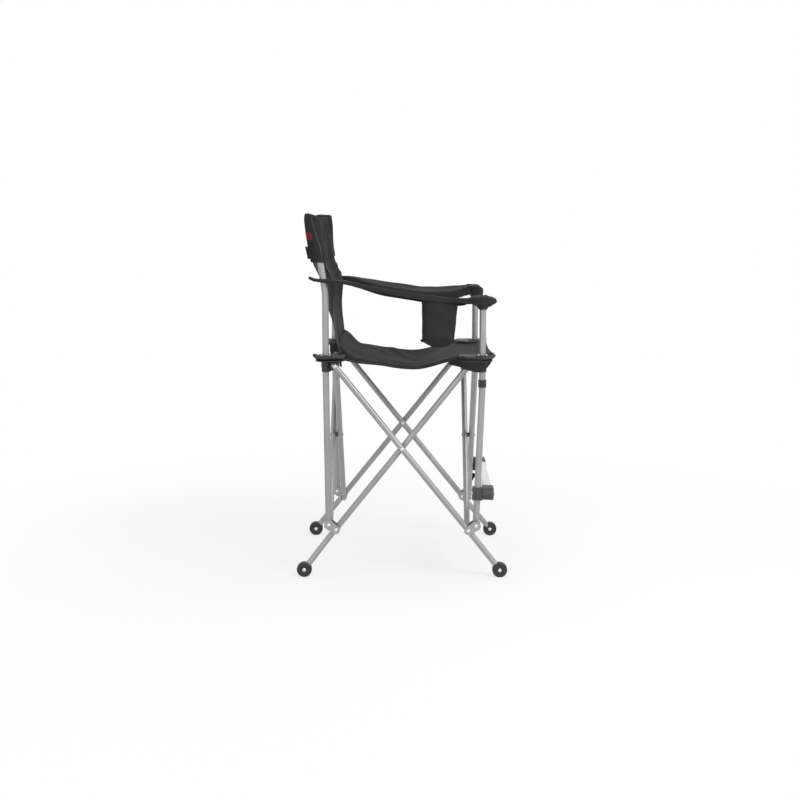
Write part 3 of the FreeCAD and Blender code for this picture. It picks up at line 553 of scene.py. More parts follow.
# Height, front of the side edges ahead of the post axis, side edges inside the post axis, sag
BACK_SHAPE = [
    (0.7493, 0.0480, 0.062, 0.004),
    (0.8150, 0.0370, 0.038, 0.007),
    (0.9000, 0.0290, 0.030, 0.031),
    (0.9900, 0.0350, 0.030, 0.058),
    (1.0660, 0.0160, 0.0122, 0.058),
    (1.1400, 0.0145, 0.0112, 0.052),
    (1.2070, 0.0160, 0.0112, 0.046),
]
BACK_LOW_Z = BACK_SHAPE[0][0]
BACK_TOP_Z = BACK_SHAPE[-1][0]
BACK_HALF = SIDE_Y - 0.03
BACK_INSIDE = 0.003
BACK_PIPING_R = 0.0032
BACK_PIPING_OUT = 0.0015


def pull_folds(z, b, height=0.006, middle_z=1.02, tall=0.035, pitch=0.03, slant=1.5):
    """Folds where the armrests pull at the sides of the backrest."""
    side = smooth(0.35, 0.95, abs(b))
    return height * bell(z, middle_z, tall) * side * crease(math.pi * (z - middle_z) / pitch + slant * b)


def corner_folds(z, b, corner, height=0.0045, half=0.24, count=4.2, waver=0.15):
    """Folds that fan out from a top corner of the backrest."""
    dy = half * (1 - corner * b)
    dz = BACK_TOP_Z - z
    distance = math.hypot(dy, dz)
    angle = math.atan2(dz, dy + 0.001) + waver * lumps(b, z, corner, 0.3)
    reach = smooth(0.03, 0.1, distance) * (1 - smooth(0.12, 0.34, distance))
    return height * reach * crease(count * angle + 0.7 + corner)


def hanging_folds(z, b, height=0.005, count=4.6, sway=2.4):
    """Upright folds low on the backrest."""
    low = (1 - smooth(0.84, 0.96, z)) * smooth(0.75, 0.8, z)
    phase = count * b + sway * lumps(2 * b, z, 9.0, 0.6)
    return height * low * crease(phase) * (0.6 + lumps(b, z, 6.0, 0.3))


def back_point(z, b, dents=0.005):
    """Middle of the backrest cloth at a height, with b from -1 at the right edge to 1 at the left."""
    ahead, inset, sag = row_at(BACK_SHAPE, z)
    x = rear_post_axis(z) + ahead - BACK_INSIDE - sag * (1 - b * b)
    x += pull_folds(z, b)
    for corner in (-1, 1):
        x += corner_folds(z, b, corner)
    x += hanging_folds(z, b)
    x += dents * lumps(1.6 * b, z, 2.0, 0.3) * smooth(1.0, 0.8, abs(b))
    return Vector((x, b * (SIDE_Y - inset), z))


def make_back():
    heights = [BACK_TOP_Z - step for step in edge_steps(BACK_TOP_Z - BACK_LOW_Z, 60)]
    right = [-1 + step / BACK_HALF for step in edge_steps(BACK_HALF, 26)]
    across = right + [-b for b in reversed(right[:-1])]
    grid = [[back_point(z, b) for b in across] for z in heights]

    def thick(i, j):
        return hem_thickness(min(BACK_TOP_Z - heights[i], BACK_HALF * (1 - abs(across[j]))))

    made = Made()
    normals = shell(made, grid, thick)
    seams = HEM_SEAMS + from_far_end(HEM_SEAMS, len(across))
    sew(made, grid, normals, thick, columns=seams, rows=HEM_SEAMS)
    for column, side in ((0, -1), (len(across) - 1, 1)):
        out = Vector((BACK_PIPING_OUT, side * BACK_PIPING_OUT, 0))
        tube(made, [row[column] + out for row in grid], BACK_PIPING_R, PIPING)
    piece = cloth_piece(made, "back_cloth", "rear_left_post", "back_panel")
    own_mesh(piece)


# Sleeves of the backrest over the rear posts' upper ends

SLEEVE_LOW_Z = 1.068
SLEEVE_TOP_Z = {"left": 1.2195, "right": 1.2300}
SLEEVE_SLOPE = {"left": 0.003, "right": 0.012}
SLEEVE_FULLNESS = {"left": 0.006, "right": -0.002}
SLEEVE_BODY = 0.13
SLEEVE_CLOSING = 0.0045
SLEEVE_FRONT = 0.022
SLEEVE_LOW_FRONT = 0.018
SLEEVE_WIDTH = 0.0142
SLEEVE_SHUT_WIDTH = 0.0008
SLEEVE_FLATNESS = 0.72
SLEEVE_RIPPLE = 0.12
SLEEVE_SIDES = 44
# Heights with the reach behind the post's axis, and with the seam's place ahead of it
SLEEVE_REAR = [(1.068, 0.0300), (1.140, 0.0330), (1.205, 0.0310), (1.230, 0.0240)]
SLEEVE_SEAM = [(1.068, 0.0075), (1.113, 0.0080), (1.158, 0.0017), (1.207, -0.0041)]
SEAM_R = 0.0014
SEAM_OUT = 0.0008
TOP_PIPING_R = 0.0011
# Lower and upper edge of the two blank patches, how far they pass the sleeve behind, material
SLEEVE_PATCHES = [(1.079, 1.118, 0.0090, TAPE), (1.141, 1.165, 0.0, PATCH)]
PATCH_CLOTH = 0.0016
PATCH_TURNS = (0.32, 0.48)
PATCH_OUT = 0.0022


def sleeve_reach(name, z, ahead):
    """Reach of a sleeve from the post's axis, to the front where ahead is positive, or else behind."""
    if ahead <= 0:
        return through(SLEEVE_REAR, z)
    low = 1 - smooth(SLEEVE_LOW_Z, SLEEVE_LOW_Z + SLEEVE_BODY, z)
    full = smooth(SLEEVE_LOW_Z + 0.04, SLEEVE_TOP_Z[name] - 0.02, z)
    return SLEEVE_FRONT - (SLEEVE_FRONT - SLEEVE_LOW_FRONT) * low + SLEEVE_FULLNESS[name] * full


def sleeve_point(name, side, z, turn):
    """Place on a sleeve at a height and a turn from its front: round the post, flat behind it."""
    high_z = SLEEVE_TOP_Z[name]
    top = smooth(high_z - SLEEVE_CLOSING, high_z, z)
    tilt = SLEEVE_SLOPE[name] * smooth(SLEEVE_LOW_Z + 0.06, high_z, z)
    long = math.cos(turn)
    reach = sleeve_reach(name, z, long) - 0.003 * top
    wide = SLEEVE_WIDTH * (1 - SLEEVE_FLATNESS * smooth(0.35, 1.0, -long))
    wide = wide * (1 - top) + SLEEVE_SHUT_WIDTH * top
    ripple = 1 + SLEEVE_RIPPLE * lumps(long * 0.03, side, z, 0.03) * (1 - top)
    y = SIDE_Y + wide * ripple * math.sin(turn)
    down = tilt * ((1 + long) / 2) ** 0.8 + 0.004 * top * max(0.0, -long) ** 6
    return Vector((rear_post_axis(z) + reach * long, side * y, z - down))


def sleeve_ring(name, side, z):
    ring = [sleeve_point(name, side, z, turn) for turn in turns(SLEEVE_SIDES)]
    return ring if side > 0 else ring[::-1]


def sleeve_seam(name, side, heights):
    """Path of the piped seam down the outer face of a sleeve."""
    out = Vector((0, side * SEAM_OUT, 0))
    path = []
    for z in heights:
        ahead = through(SLEEVE_SEAM, z)
        turn = math.acos(ahead / sleeve_reach(name, z, ahead))
        path.append(sleeve_point(name, side, z, turn) + out)
    return path


def sleeve_patch(made, name, side, low_z, high_z, tail, kind):
    """Blank woven patch on the rear outer face of a sleeve, which it passes behind by its tail."""
    first, last = [round(share * SLEEVE_SIDES) for share in PATCH_TURNS]
    grid = []
    for z in spread(low_z, high_z, 9):
        row = []
        for step in range(last, first - 1, -1):
            behind = tail * (step - first) / (last - first)
            point = sleeve_point(name, side, z, turns(SLEEVE_SIDES)[step])
            row.append(point + Vector((-behind, side * PATCH_OUT, 0)))
        grid.append(row)

    def thick(i, j):
        return PATCH_CLOTH

    normals = shell(made, grid, thick, kind)
    outward = facing(normals[4][1], side)
    sew(made, grid, normals, thick, rows=[1, len(grid) - 2], faces=[outward])


def make_sleeve(name, side):
    heights = [SLEEVE_LOW_Z + step for step in edge_steps(SLEEVE_BODY, 14)]
    heights += spread(SLEEVE_LOW_Z + SLEEVE_BODY + 0.003, SLEEVE_TOP_Z[name], 14)
    grid = [sleeve_ring(name, side, z) for z in heights]

    def thick(i, j):
        return hem_thickness(heights[i] - SLEEVE_LOW_Z, THIN_CLOTH, THIN_HEM_CLOTH)

    made = Made()
    normals = shell(made, grid, thick, ring=True)
    outward = facing(normals[10][SLEEVE_SIDES // 4], side)
    sew(made, grid, normals, thick, rows=HEM_SEAMS, faces=[outward])
    tube(made, sleeve_seam(name, side, heights[:-4]), SEAM_R, PIPING)
    tube(made, grid[-5], TOP_PIPING_R, PIPING, closed=True)
    if side < 0:
        for patch in SLEEVE_PATCHES:
            sleeve_patch(made, name, side, *patch)
    piece = cloth_piece(made, "back_sleeve_cloth_" + name, "rear_" + name + "_post",
                        "back_sleeve_rear_" + name)


make_sleeve("left", 1)
make_sleeve("right", -1)
make_back()


# Seat: a sling between the hubs, in two halves that meet at its middle seam

SEAT_TOP_Z = FLANGE_TOP_Z + 0.0053
SEAT_LOW_X = 0.04
SEAT_HUB_X = 0.193
SEAT_FRONT_X = 0.308
SEAT_FRONT_BOW = 0.006
SEAT_FRONT_RISE = 0.012
SEAT_LENGTH = SEAT_FRONT_X + 0.22
SEAT_EDGE_Y = 0.25
SEAT_WAIST = 0.012
SEAT_WAIST_X = -0.2
SEAT_WAIST_LENGTH = 0.45
SEAT_SEAM_Y = 0.0012
SEAT_SEAM_DROP = 0.006
SEAT_SEAM_SAG = 0.042
SEAT_BELLY = 0.010
SEAT_EDGE_SAG = {1: 0.020, -1: 0.029}
SEAT_HEM_DROP = {1: 0.021, -1: 0.0075}
SEAT_REAR_DROP = {1: 0.0, -1: 0.008}
SEAT_HEM_FLARE = 0.011
SEAT_REAR_Z = 0.788
SEAT_REAR_Y = 0.2145
SEAT_REAR_GAP = 0.0042
SEAT_SWEEP_X = -0.150
# Height, place and half length of the bulge at the rear of the left edge
SEAT_BULGE = 0.020
SEAT_BULGE_X = -0.195
SEAT_BULGE_LENGTH = 0.026
# Corner, how close the folds are, height, where they are highest and where they end, turn
SEAT_FANS = [((-0.20, 0.25), 3.6, 0.0075, 0.12, 0.36, 0.55), ((0.27, 0.25), 3.0, 0.003, 0.10, 0.26, 0.9)]
# Start, end, height and half width of single folds
SEAT_FOLDS = {
    1: [((-0.04, 0.22), (0.075, 0.06), 0.009, 0.013), ((-0.15, 0.03), (-0.05, 0.16), 0.006, 0.016)],
    -1: [((-0.03, 0.02), (0.08, 0.19), 0.010, 0.015), ((-0.15, 0.03), (-0.05, 0.16), 0.006, 0.016)],
}
# Hem step that a cord lies on, how far it is above that, radius, material. The first cord is the hem's
# rolled edge, coloured pale as painted highlight where the hem catches light. The second, a dark tape
# cord, is painted shadow in the gap between the hem and the seat behind it.
SEAT_HEM_HIGHLIGHT_AND_SHADOW_CORDS = [(1, -0.0012, 0.0036, PIPING), (2, 0.0032, 0.0019, TAPE)]


def seat_height(side, x, b, power=1.6):
    """Height of the sling before its rear end sweeps up, with b from 0 at the seam to 1 at the edge."""
    hub_x = SEAT_HUB_X if x > SEAT_LOW_X else -SEAT_HUB_X
    away = min(1.0, (x - SEAT_LOW_X) / (hub_x - SEAT_LOW_X))
    drop = (1 + math.cos(math.pi * away)) / 2
    edge = -SEAT_EDGE_SAG[side] * drop
    seam = -SEAT_SEAM_DROP - SEAT_SEAM_SAG * drop
    belly = -SEAT_BELLY * drop * math.sin(math.pi * b)
    return SEAT_TOP_Z + edge * b ** power + seam * (1 - b ** power) + belly


def fan(x, y, corner, count, height, start, end, turn):
    """Tension folds that fan out from a corner of the seat."""
    dx, dy = x - corner[0], y - corner[1]
    distance = math.hypot(dx, dy)
    angle = math.atan2(abs(dy), abs(dx)) + 0.12 * lumps(x, y, turn, 0.09)
    strength = smooth(start * 0.3, start, distance) * (1 - smooth(start, end, distance))
    return height * strength * crease(count * angle + turn)


def long_fold(x, y, start, end, height, width):
    """One soft fold that runs from a start to an end point and dies out at both."""
    sx, sy = end[0] - start[0], end[1] - start[1]
    long = math.hypot(sx, sy)
    along = ((x - start[0]) * sx + (y - start[1]) * sy) / long ** 2
    across = ((x - start[0]) * sy - (y - start[1]) * sx) / long
    ends = smooth(-0.25, 0.25, along) * (1 - smooth(0.75, 1.25, along))
    return height * ends * bell(across, 0.0, width)


def seat_folds(side, x, y):
    folds = sum(fan(x, y, *values) for values in SEAT_FANS)
    for values in SEAT_FOLDS[side]:
        folds += long_fold(x, y, *values)
    return folds + 0.0025 * lumps(x, side * y, 1.0, 0.09)


def seat_rear_x(side, b):
    """Place along the chair where the seat meets the backrest."""
    back_half = SIDE_Y - row_at(BACK_SHAPE, SEAT_REAR_Z)[1]
    return back_point(SEAT_REAR_Z, side * b * SEAT_REAR_Y / back_half).x + SEAT_REAR_GAP


def seat_point(side, a, b):
    """Middle of the seat cloth, with a from 0 at the rear to 1 at the front and b from 0 at the seam
    to 1 at the side edge."""
    rear_x = seat_rear_x(side, b)
    front_x = SEAT_FRONT_X - SEAT_FRONT_BOW * (1 - b * b)
    x = rear_x + (front_x - rear_x) * a
    waist = math.sin(math.pi * min(1.0, max(0.0, (x - SEAT_WAIST_X) / SEAT_WAIST_LENGTH)))
    narrow = (SEAT_EDGE_Y - SEAT_REAR_Y) * smooth(-0.12, rear_x, x)
    edge_y = SEAT_EDGE_Y - SEAT_WAIST * waist - narrow
    from_edge = edge_y * (1 - b)
    hem = max(0.0, 1 - from_edge / HEM) ** 1.6 * (1 - smooth(0.16, 0.22, x))
    y = SEAT_SEAM_Y + (edge_y - SEAT_SEAM_Y) * b + SEAT_HEM_FLARE * hem * waist
    sweep = max(0.0, (SEAT_SWEEP_X - x) / (SEAT_SWEEP_X - rear_x)) ** 2 * (1 - 0.85 * hem)
    z = seat_height(side, x, b) + (SEAT_REAR_Z - seat_height(side, rear_x, b)) * sweep
    z -= (SEAT_HEM_DROP[side] + SEAT_REAR_DROP[side] * (1 - smooth(-0.15, -0.05, x))) * hem
    if side > 0:
        z += SEAT_BULGE * bell(x, SEAT_BULGE_X, SEAT_BULGE_LENGTH) * smooth(0.5, 0.95, b)
    z += SEAT_FRONT_RISE * smooth(0.27, 0.30, x)
    z += seat_folds(side, x, y) * smooth(0.0, 0.03, from_edge)
    return Vector((x, side * y, z))


def make_seat(name, side):
    along = [1 - step / SEAT_LENGTH for step in reversed(edge_steps(SEAT_LENGTH, 70))]
    across = [1 - step / SEAT_EDGE_Y for step in edge_steps(SEAT_EDGE_Y, 36)]
    grid = [[seat_point(side, a, b) for b in across] for a in along]

    def thick(i, j):
        return hem_thickness(min(SEAT_EDGE_Y * (1 - across[j]), SEAT_LENGTH * (1 - along[i])))

    made = Made()
    normals = shell(made, grid, thick)
    sew(made, grid, normals, thick, columns=HEM_SEAMS, rows=from_far_end(HEM_SEAMS, len(along)))
    sew(made, grid, normals, thick, columns=[len(across) - 2])
    # Pale cord: rolled hem with painted highlight. Dark cord: painted shadow above the hem.
    for step, above, radius, kind in SEAT_HEM_HIGHLIGHT_AND_SHADOW_CORDS:
        tube(made, [row[step] + Vector((0, 0, above)) for row in grid], radius, kind)
    piece = cloth_piece(made, "seat_cloth_" + name, "seat_" + name + "_half", "seat_" + name)
    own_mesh(piece)


make_seat("left", 1)
make_seat("right", -1)


# Armrests: cloth bands from the rear posts to the front caps, with hems that hang on both sides

ARM_REAR_X = -0.308
ARM_WIDE_X = -0.2
ARM_HOOD_X = 0.262
ARM_FRONT_X = {1: 0.298, -1: 0.313}
# Each list holds places along the armrest and a size there. The tilt lowers the inner edge.
ARM_TOP = [(-0.308, 1.0190), (-0.290, 1.0120), (-0.260, 1.0090), (-0.200, 1.0065), (-0.128, 0.9950),
           (-0.033, 0.9780), (0.066, 0.9640), (0.165, 0.9525), (0.210, 0.9512), (0.245, 0.9545),
           (0.275, 0.9555), (0.295, 0.9520), (0.313, 0.9450)]
ARM_HALF_WIDTH = [(-0.308, 0.011), (-0.295, 0.017), (-0.250, 0.0185), (-0.190, 0.027),
                  (-0.090, 0.041), (0.020, 0.045), (0.250, 0.045)]
ARM_HEM = [(-0.308, 0.0055), (-0.220, 0.0075), (-0.149, 0.0115), (-0.042, 0.0145), (0.030, 0.0150),
           (0.075, 0.0168), (0.165, 0.0160), (0.215, 0.0172), (0.245, 0.0270), (0.268, 0.0370),
           (0.290, 0.0300), (0.313, 0.0090)]
ARM_BLUNT_HEM = ARM_HEM[:-3] + [(0.268, 0.0390), (0.290, 0.0360), (0.313, 0.0280)]
ARM_FLARE = [(0.200, 0.12), (0.262, -0.60), (0.313, -0.60)]
ARM_TILT = [(-0.200, 0.0), (-0.060, 0.15), (0.190, 0.15), (0.245, 0.0)]
ARM_INNER_HEM = [(-0.250, 0.0), (-0.205, 0.0110), (-0.100, 0.0080), (-0.020, 0.0030), (0.100, 0.0030),
                 (0.150, 0.0090), (0.225, 0.0100), (0.250, 0.0020), (0.262, 0.0)]
ARM_LEFT_DROP = [(-0.200, 0.0160), (-0.128, 0.0165), (-0.033, 0.0140), (0.066, 0.0125), (0.110, 0.0080),
                 (0.165, 0.0010), (0.212, -0.0040), (0.255, -0.0045), (0.275, -0.0030), (0.298, 0.0060)]
ARM_ROUND = 0.004
ARM_TIP = 0.0012
ARM_HOLLOW = 0.004
# Shares of the band's half section, from its middle to its hem
ARM_SHARES = [0.0, 0.12, 0.24, 0.36, 0.45, 0.53, 0.58, 0.61, 0.64, 0.67, 0.70, 0.74, 0.79, 0.84, 0.88,
              0.92, 0.96, 1.0]
ARM_HEM_SHARE = 0.73
ARM_SEAMS = [1, 5]
POST_RING_R = 0.0026
POST_RING_GAP = 0.0034
# Mouth of the cup holder, and the share of the half section that it takes up
MOUTH_LENGTH = 0.097
MOUTH_WIDTH = 0.060
MOUTH_ROUND = 0.022
MOUTH_SHARE = 0.45
MOUTH_TAPE_R = 0.0034
MOUTH_REAR_X = CUP_X - MOUTH_LENGTH / 2
MOUTH_FRONT_X = CUP_X + MOUTH_LENGTH / 2


def arm_half_width(side, x):
    """Half the band's width, round in plan at the front end."""
    half = through(ARM_HALF_WIDTH, x)
    if x > ARM_HOOD_X:
        share = (x - ARM_HOOD_X) / (ARM_FRONT_X[side] - ARM_HOOD_X)
        half *= math.sqrt(max(0.0, 1 - share * share))
    return max(half, ARM_TIP)


def arm_hollow(x):
    return ARM_HOLLOW * smooth(-0.15, 0.05, x) * (1 - smooth(0.2, 0.25, x))


def arm_section(side, x, e):
    """Sideways and upward place of the band's cloth, at e from -1 at the inner hem to 1 at the outer."""
    half = arm_half_width(side, x)
    corner = min(ARM_ROUND, half / 2)
    hem = through(ARM_BLUNT_HEM if side > 0 else ARM_HEM, x)
    if e < 0 < side:
        hem += through(ARM_INNER_HEM, x)
    flat = half - corner
    bend = corner * math.pi / 2
    reach = abs(e) * (flat + bend + hem - corner)
    out = 1 if e > 0 else -1
    if reach <= flat:
        return out * reach, -arm_hollow(x) * (1 - (reach / flat) ** 2)
    if reach <= flat + bend:
        turn = (reach - flat) / corner
        return out * (flat + corner * math.sin(turn)), -corner * (1 - math.cos(turn))
    hang = reach - flat - bend
    across = half + through(ARM_FLARE, x) * hang
    return out * max(across, min(half, ARM_TIP)), -corner - hang


def arm_top(side, x):
    lower = through(ARM_LEFT_DROP, x) if side > 0 else 0.0
    return through(ARM_TOP, x) - lower


def arm_pleats(side, x, e, height=0.0034, pitch=0.024, slant=2.5):
    """Gathers across the hood at the front end."""
    front = smooth(0.2, 0.24, x) * (1 - smooth(0.28, 0.305, x))
    return height * front * crease(math.pi * x / pitch + slant * e + side)


def arm_point(side, x, e, wave=0.002, wander=0.0015):
    """Middle of an armrest's cloth. It waves up and down, and its hems wander in and out."""
    across, up = arm_section(side, x, e)
    up += through(ARM_TILT, x) * (across - arm_half_width(side, x))
    up += wave * lumps(x, side, 4 * e, 0.06) * smooth(-0.25, -0.1, x)
    up += arm_pleats(side, x, e)
    across += wander * lumps(x, 7 * side, e, 0.05) * abs(e) * (1 - smooth(0.22, 0.26, x))
    return Vector((x, side * (SIDE_Y + across), arm_top(side, x) + up))


def round_mouth(grid, block):
    """Move the edge of the open block to a round-cornered outline."""
    i0, i1, j0, j1 = block
    half_l, half_w = MOUTH_LENGTH / 2 - MOUTH_ROUND, MOUTH_WIDTH / 2 - MOUTH_ROUND
    for i in range(i0, i1 + 1):
        for j in range(j0, j1 + 1):
            point = grid[i][j]
            u = point.x - CUP_X
            v = abs(point.y) - SIDE_Y
            corner_u = max(0.0, abs(u) - half_l)
            corner_v = max(0.0, abs(v) - half_w)
            reach = math.hypot(corner_u, corner_v)
            if reach > MOUTH_ROUND:
                shrink = MOUTH_ROUND / reach
                point.x = CUP_X + math.copysign(half_l + corner_u * shrink, u)
                out = math.copysign(half_w + corner_v * shrink, v)
                point.y = math.copysign(SIDE_Y + out, point.y)


def make_armrest(name, side):
    xs = spread(ARM_REAR_X, ARM_WIDE_X, 16)[:-1] + spread(ARM_WIDE_X, MOUTH_REAR_X, 34)[:-1]
    first = len(xs)
    xs += spread(MOUTH_REAR_X, MOUTH_FRONT_X, 18)
    last = len(xs) - 1
    xs += spread(MOUTH_FRONT_X, ARM_HOOD_X, 22)[1:]
    round_end = [math.sin(math.pi / 2 * share) for share in spread(0.0, 1.0, 22)]
    xs += [ARM_HOOD_X + (ARM_FRONT_X[side] - ARM_HOOD_X) * share for share in round_end[1:]]
    es = [-e for e in reversed(ARM_SHARES[1:])] + ARM_SHARES
    grid = [[arm_point(side, x, e) for e in es] for x in xs]
    mouth = None
    if side < 0:
        middle = len(ARM_SHARES) - 1
        reach = ARM_SHARES.index(MOUTH_SHARE)
        mouth = (first, last, middle - reach, middle + reach)
        round_mouth(grid, mouth)

    def thick(i, j):
        return HEM_CLOTH if abs(es[j]) > ARM_HEM_SHARE else CLOTH

    made = Made()
    normals = shell(made, grid, thick, hole=mouth)
    sew(made, grid, normals, thick, columns=ARM_SEAMS + from_far_end(ARM_SEAMS, len(es)))
    if mouth:
        tube(made, [grid[i][j] for i, j in block_loop(mouth)], MOUTH_TAPE_R, TAPE, closed=True)
    ring_z = arm_top(side, REAR_POST_X) + 0.001
    post_x = rear_post_axis(ring_z)
    centre = Vector((post_x, side * SIDE_Y, ring_z))
    ways = [Vector((math.cos(turn), math.sin(turn), 0)) for turn in turns(28)]
    tube(made, [centre + way * (POST_R + POST_RING_GAP) for way in ways], POST_RING_R, TAPE, closed=True)
    piece = cloth_piece(made, "armrest_cloth_" + name, "rear_" + name + "_post", "armrest_" + name)
    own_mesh(piece)


make_armrest("left", 1)
make_armrest("right", -1)


# Cup holder: a sewn pocket that hangs under the right armrest

POCKET_TOP_Z = 0.944
POCKET_SEAM_Z = 0.806
POCKET_TUCK_Z = POCKET_SEAM_Z + 0.011
POCKET_BELLY = 0.020
# Rear and front end from the cup's middle and half the width, each at the top and at the seam
POCKET_REAR = (-0.0600, -0.0590)
POCKET_FRONT = (0.0585, 0.0450)
POCKET_HALF_WIDTH = (0.0405, 0.0365)
POCKET_SQUARENESS = 0.42
POCKET_SWELL = 0.05
POCKET_SIDES = 64
POCKET_HEM_CLOTH = 0.0036
# Scales of the seam's outline over the floor, and of the two tapes round the pocket
POCKET_FLOOR = [1.09, 1.045, 1.0, 0.97, 0.9, 0.8, 0.65, 0.45, 0.25, 0.08, 0.004]
POCKET_SEAM_TAPE = 1.085
POCKET_TUCK_TAPE = 1.012
SEAM_TAPE_R = 0.0022
TUCK_TAPE_R = 0.0014


def arm_underside(point):
    """Height of the right armrest's underside over a point of the pocket."""
    flat = arm_half_width(-1, point.x) - ARM_ROUND
    across = abs(point.y) - SIDE_Y
    share = min(1.0, abs(across) / flat)
    tilted = through(ARM_TILT, point.x) * (across - flat - ARM_ROUND)
    return arm_top(-1, point.x) + tilted - arm_hollow(point.x) * (1 - share * share) - CLOTH


def pocket_share(z):
    """Share of the way from the pocket's top down to its seam."""
    return (POCKET_TOP_Z - z) / (POCKET_TOP_Z - POCKET_SEAM_Z)


def between(ends, share):
    return ends[0] + (ends[1] - ends[0]) * share


def pocket_ring(z, scale=1.0, bulge=0.0):
    """Outline of the pocket at a height, as a rounded rectangle that bellies a little."""
    share = pocket_share(z)
    rear_x = CUP_X + between(POCKET_REAR, share)
    front_x = CUP_X + between(POCKET_FRONT, share)
    half_w = between(POCKET_HALF_WIDTH, share)
    centre_x, half_l = (rear_x + front_x) / 2, (front_x - rear_x) / 2
    ring = []
    for turn in turns(POCKET_SIDES):
        c, s = math.cos(turn), math.sin(turn)
        u = math.copysign(abs(c) ** POCKET_SQUARENESS, c)
        v = math.copysign(abs(s) ** POCKET_SQUARENESS, s)
        swell = 1 + bulge * (abs(v) ** 3 - abs(u) ** 3)
        ring.append(Vector((centre_x + half_l * scale * u, -SIDE_Y - half_w * scale * v * swell, z)))
    return ring


def pocket_wall(heights):
    """Rings of the pocket's wall, which starts at the armrest's underside."""
    grid = []
    for z in heights:
        share = pocket_share(z)
        ring = pocket_ring(z, bulge=POCKET_SWELL * math.sin(math.pi * share))
        for point in ring:
            point.z += (arm_underside(point) - POCKET_TOP_Z) * (1 - smooth(0.0, 0.3, share))
            point.y += 0.0016 * lumps(point.x, 3.0, point.z, 0.04)
            point.x += 0.0012 * lumps(5.0, point.y, point.z, 0.04)
        grid.append(ring)
    return grid


def pocket_floor():
    """Rings of the pocket's floor, from the seam's lip to the middle."""
    grid = []
    for scale in POCKET_FLOOR:
        ring = pocket_ring(POCKET_SEAM_Z, scale)
        for point in ring:
            point.z -= POCKET_BELLY * (1 - min(1.0, scale) ** 2.2)
            point.z += 0.002 * lumps(point.x, point.y, 8.0, 0.03)
        grid.append(ring)
    return grid


def make_pocket():
    heights = [POCKET_TOP_Z - step for step in edge_steps(POCKET_TOP_Z - POCKET_SEAM_Z, 22)]
    wall = pocket_wall(heights)

    def thick(i, j):
        return hem_thickness(POCKET_TOP_Z - heights[i], THIN_CLOTH, POCKET_HEM_CLOTH)

    made = Made()
    normals = shell(made, wall, thick, ring=True)
    outward = facing(normals[12][POCKET_SIDES // 4], -1)
    sew(made, wall, normals, thick, rows=HEM_SEAMS, faces=[outward])
    shell(made, pocket_floor(), lambda i, j: THIN_CLOTH, ring=True)
    above = Vector((0, 0, 0.001))
    seam = [point + above for point in pocket_ring(POCKET_SEAM_Z, POCKET_SEAM_TAPE)]
    tube(made, seam, SEAM_TAPE_R, TAPE, closed=True)
    tube(made, pocket_ring(POCKET_TUCK_Z, POCKET_TUCK_TAPE), TUCK_TAPE_R, TAPE, closed=True)
    piece = cloth_piece(made, "cup_pocket", "front_right_post", "cup_holder")
    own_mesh(piece)


make_pocket()


# Corner flaps of the seat, held down on the hubs by plastic rings

FLAP_LOW_Z = FLANGE_TOP_Z + 0.0004
FLAP_HIGH_Z = FLANGE_TOP_Z + 0.0140
FLAP_TOP_Z = FLAP_HIGH_Z - 0.0012
FLAP_LIP = 0.006
FLAP_SIDES = 72
# How far the flap's outline grows, and height, from its lower face round its edge to its upper face
FLAP_PROFILE = [(-0.010, FLAP_LOW_Z), (-0.007, FLAP_LOW_Z + 0.0035), (0.0012, FLAP_LOW_Z + 0.0050),
                (0.0022, FLAP_HIGH_Z - 0.003), (0.0, FLAP_HIGH_Z - 0.0002), (-0.004, FLAP_HIGH_Z),
                (-0.010, FLAP_TOP_Z)]
FLAP_STITCHED_ROW = 5
# Radii of the flap's upper face under the ring and of its hole
FLAP_INNER_RADII = [0.024, 0.0128]
# Radius and height of a ring's section, and of a rivet's head
FLAP_RING_Z = FLAP_HIGH_Z - 0.0016
FLAP_RING_HEIGHT = 0.0036
FLAP_RING = [(0.0126, 0.0), (0.0235, 0.0), (0.0242, 0.0012), (0.0232, 0.0030), (0.0190, FLAP_RING_HEIGHT),
             (0.0140, FLAP_RING_HEIGHT), (0.0128, 0.0028), (0.0126, 0.0)]
RIVET_DOME = [(0.0030, -0.001), (0.0032, 0.0004), (0.0027, 0.0013), (0.0016, 0.0019), (0.0005, 0.0021)]
RIVET_CIRCLE_R = 0.0186


def hull_outline(circles, count, grow):
    """Points round a set of circles, seen from their middle."""
    cx = sum(circle[0] for circle in circles) / len(circles)
    cy = sum(circle[1] for circle in circles) / len(circles)
    outline = []
    for turn in turns(count):
        way = Vector((math.cos(turn), math.sin(turn)))
        best = 0.0
        for first in circles:
            for second in circles:
                for share in (0.0, 0.2, 0.4, 0.6, 0.8):
                    x = first[0] + (second[0] - first[0]) * share - cx
                    y = first[1] + (second[1] - first[1]) * share - cy
                    radius = first[2] + (second[2] - first[2]) * share + grow
                    along = x * way.x + y * way.y
                    across = x * way.y - y * way.x
                    if abs(across) < radius:
                        best = max(best, along + math.sqrt(radius ** 2 - across ** 2))
        outline.append((cx + way.x * best, cy + way.y * best))
    return outline


def flap_circles(axis_x, front):
    """Circles round post, pivots and tip that a flap covers, turned as at the front left corner."""
    circles = [(axis_x, SIDE_Y, 0.034), (PIVOT_X, SIDE_Y, 0.031), (PIVOT_X, SIDE_Y - 0.03, 0.03),
               (axis_x + 0.031, SIDE_Y, 0.011)]
    if not front:
        circles.append((axis_x - 0.006, SIDE_Y - 0.040, 0.025))
    return circles


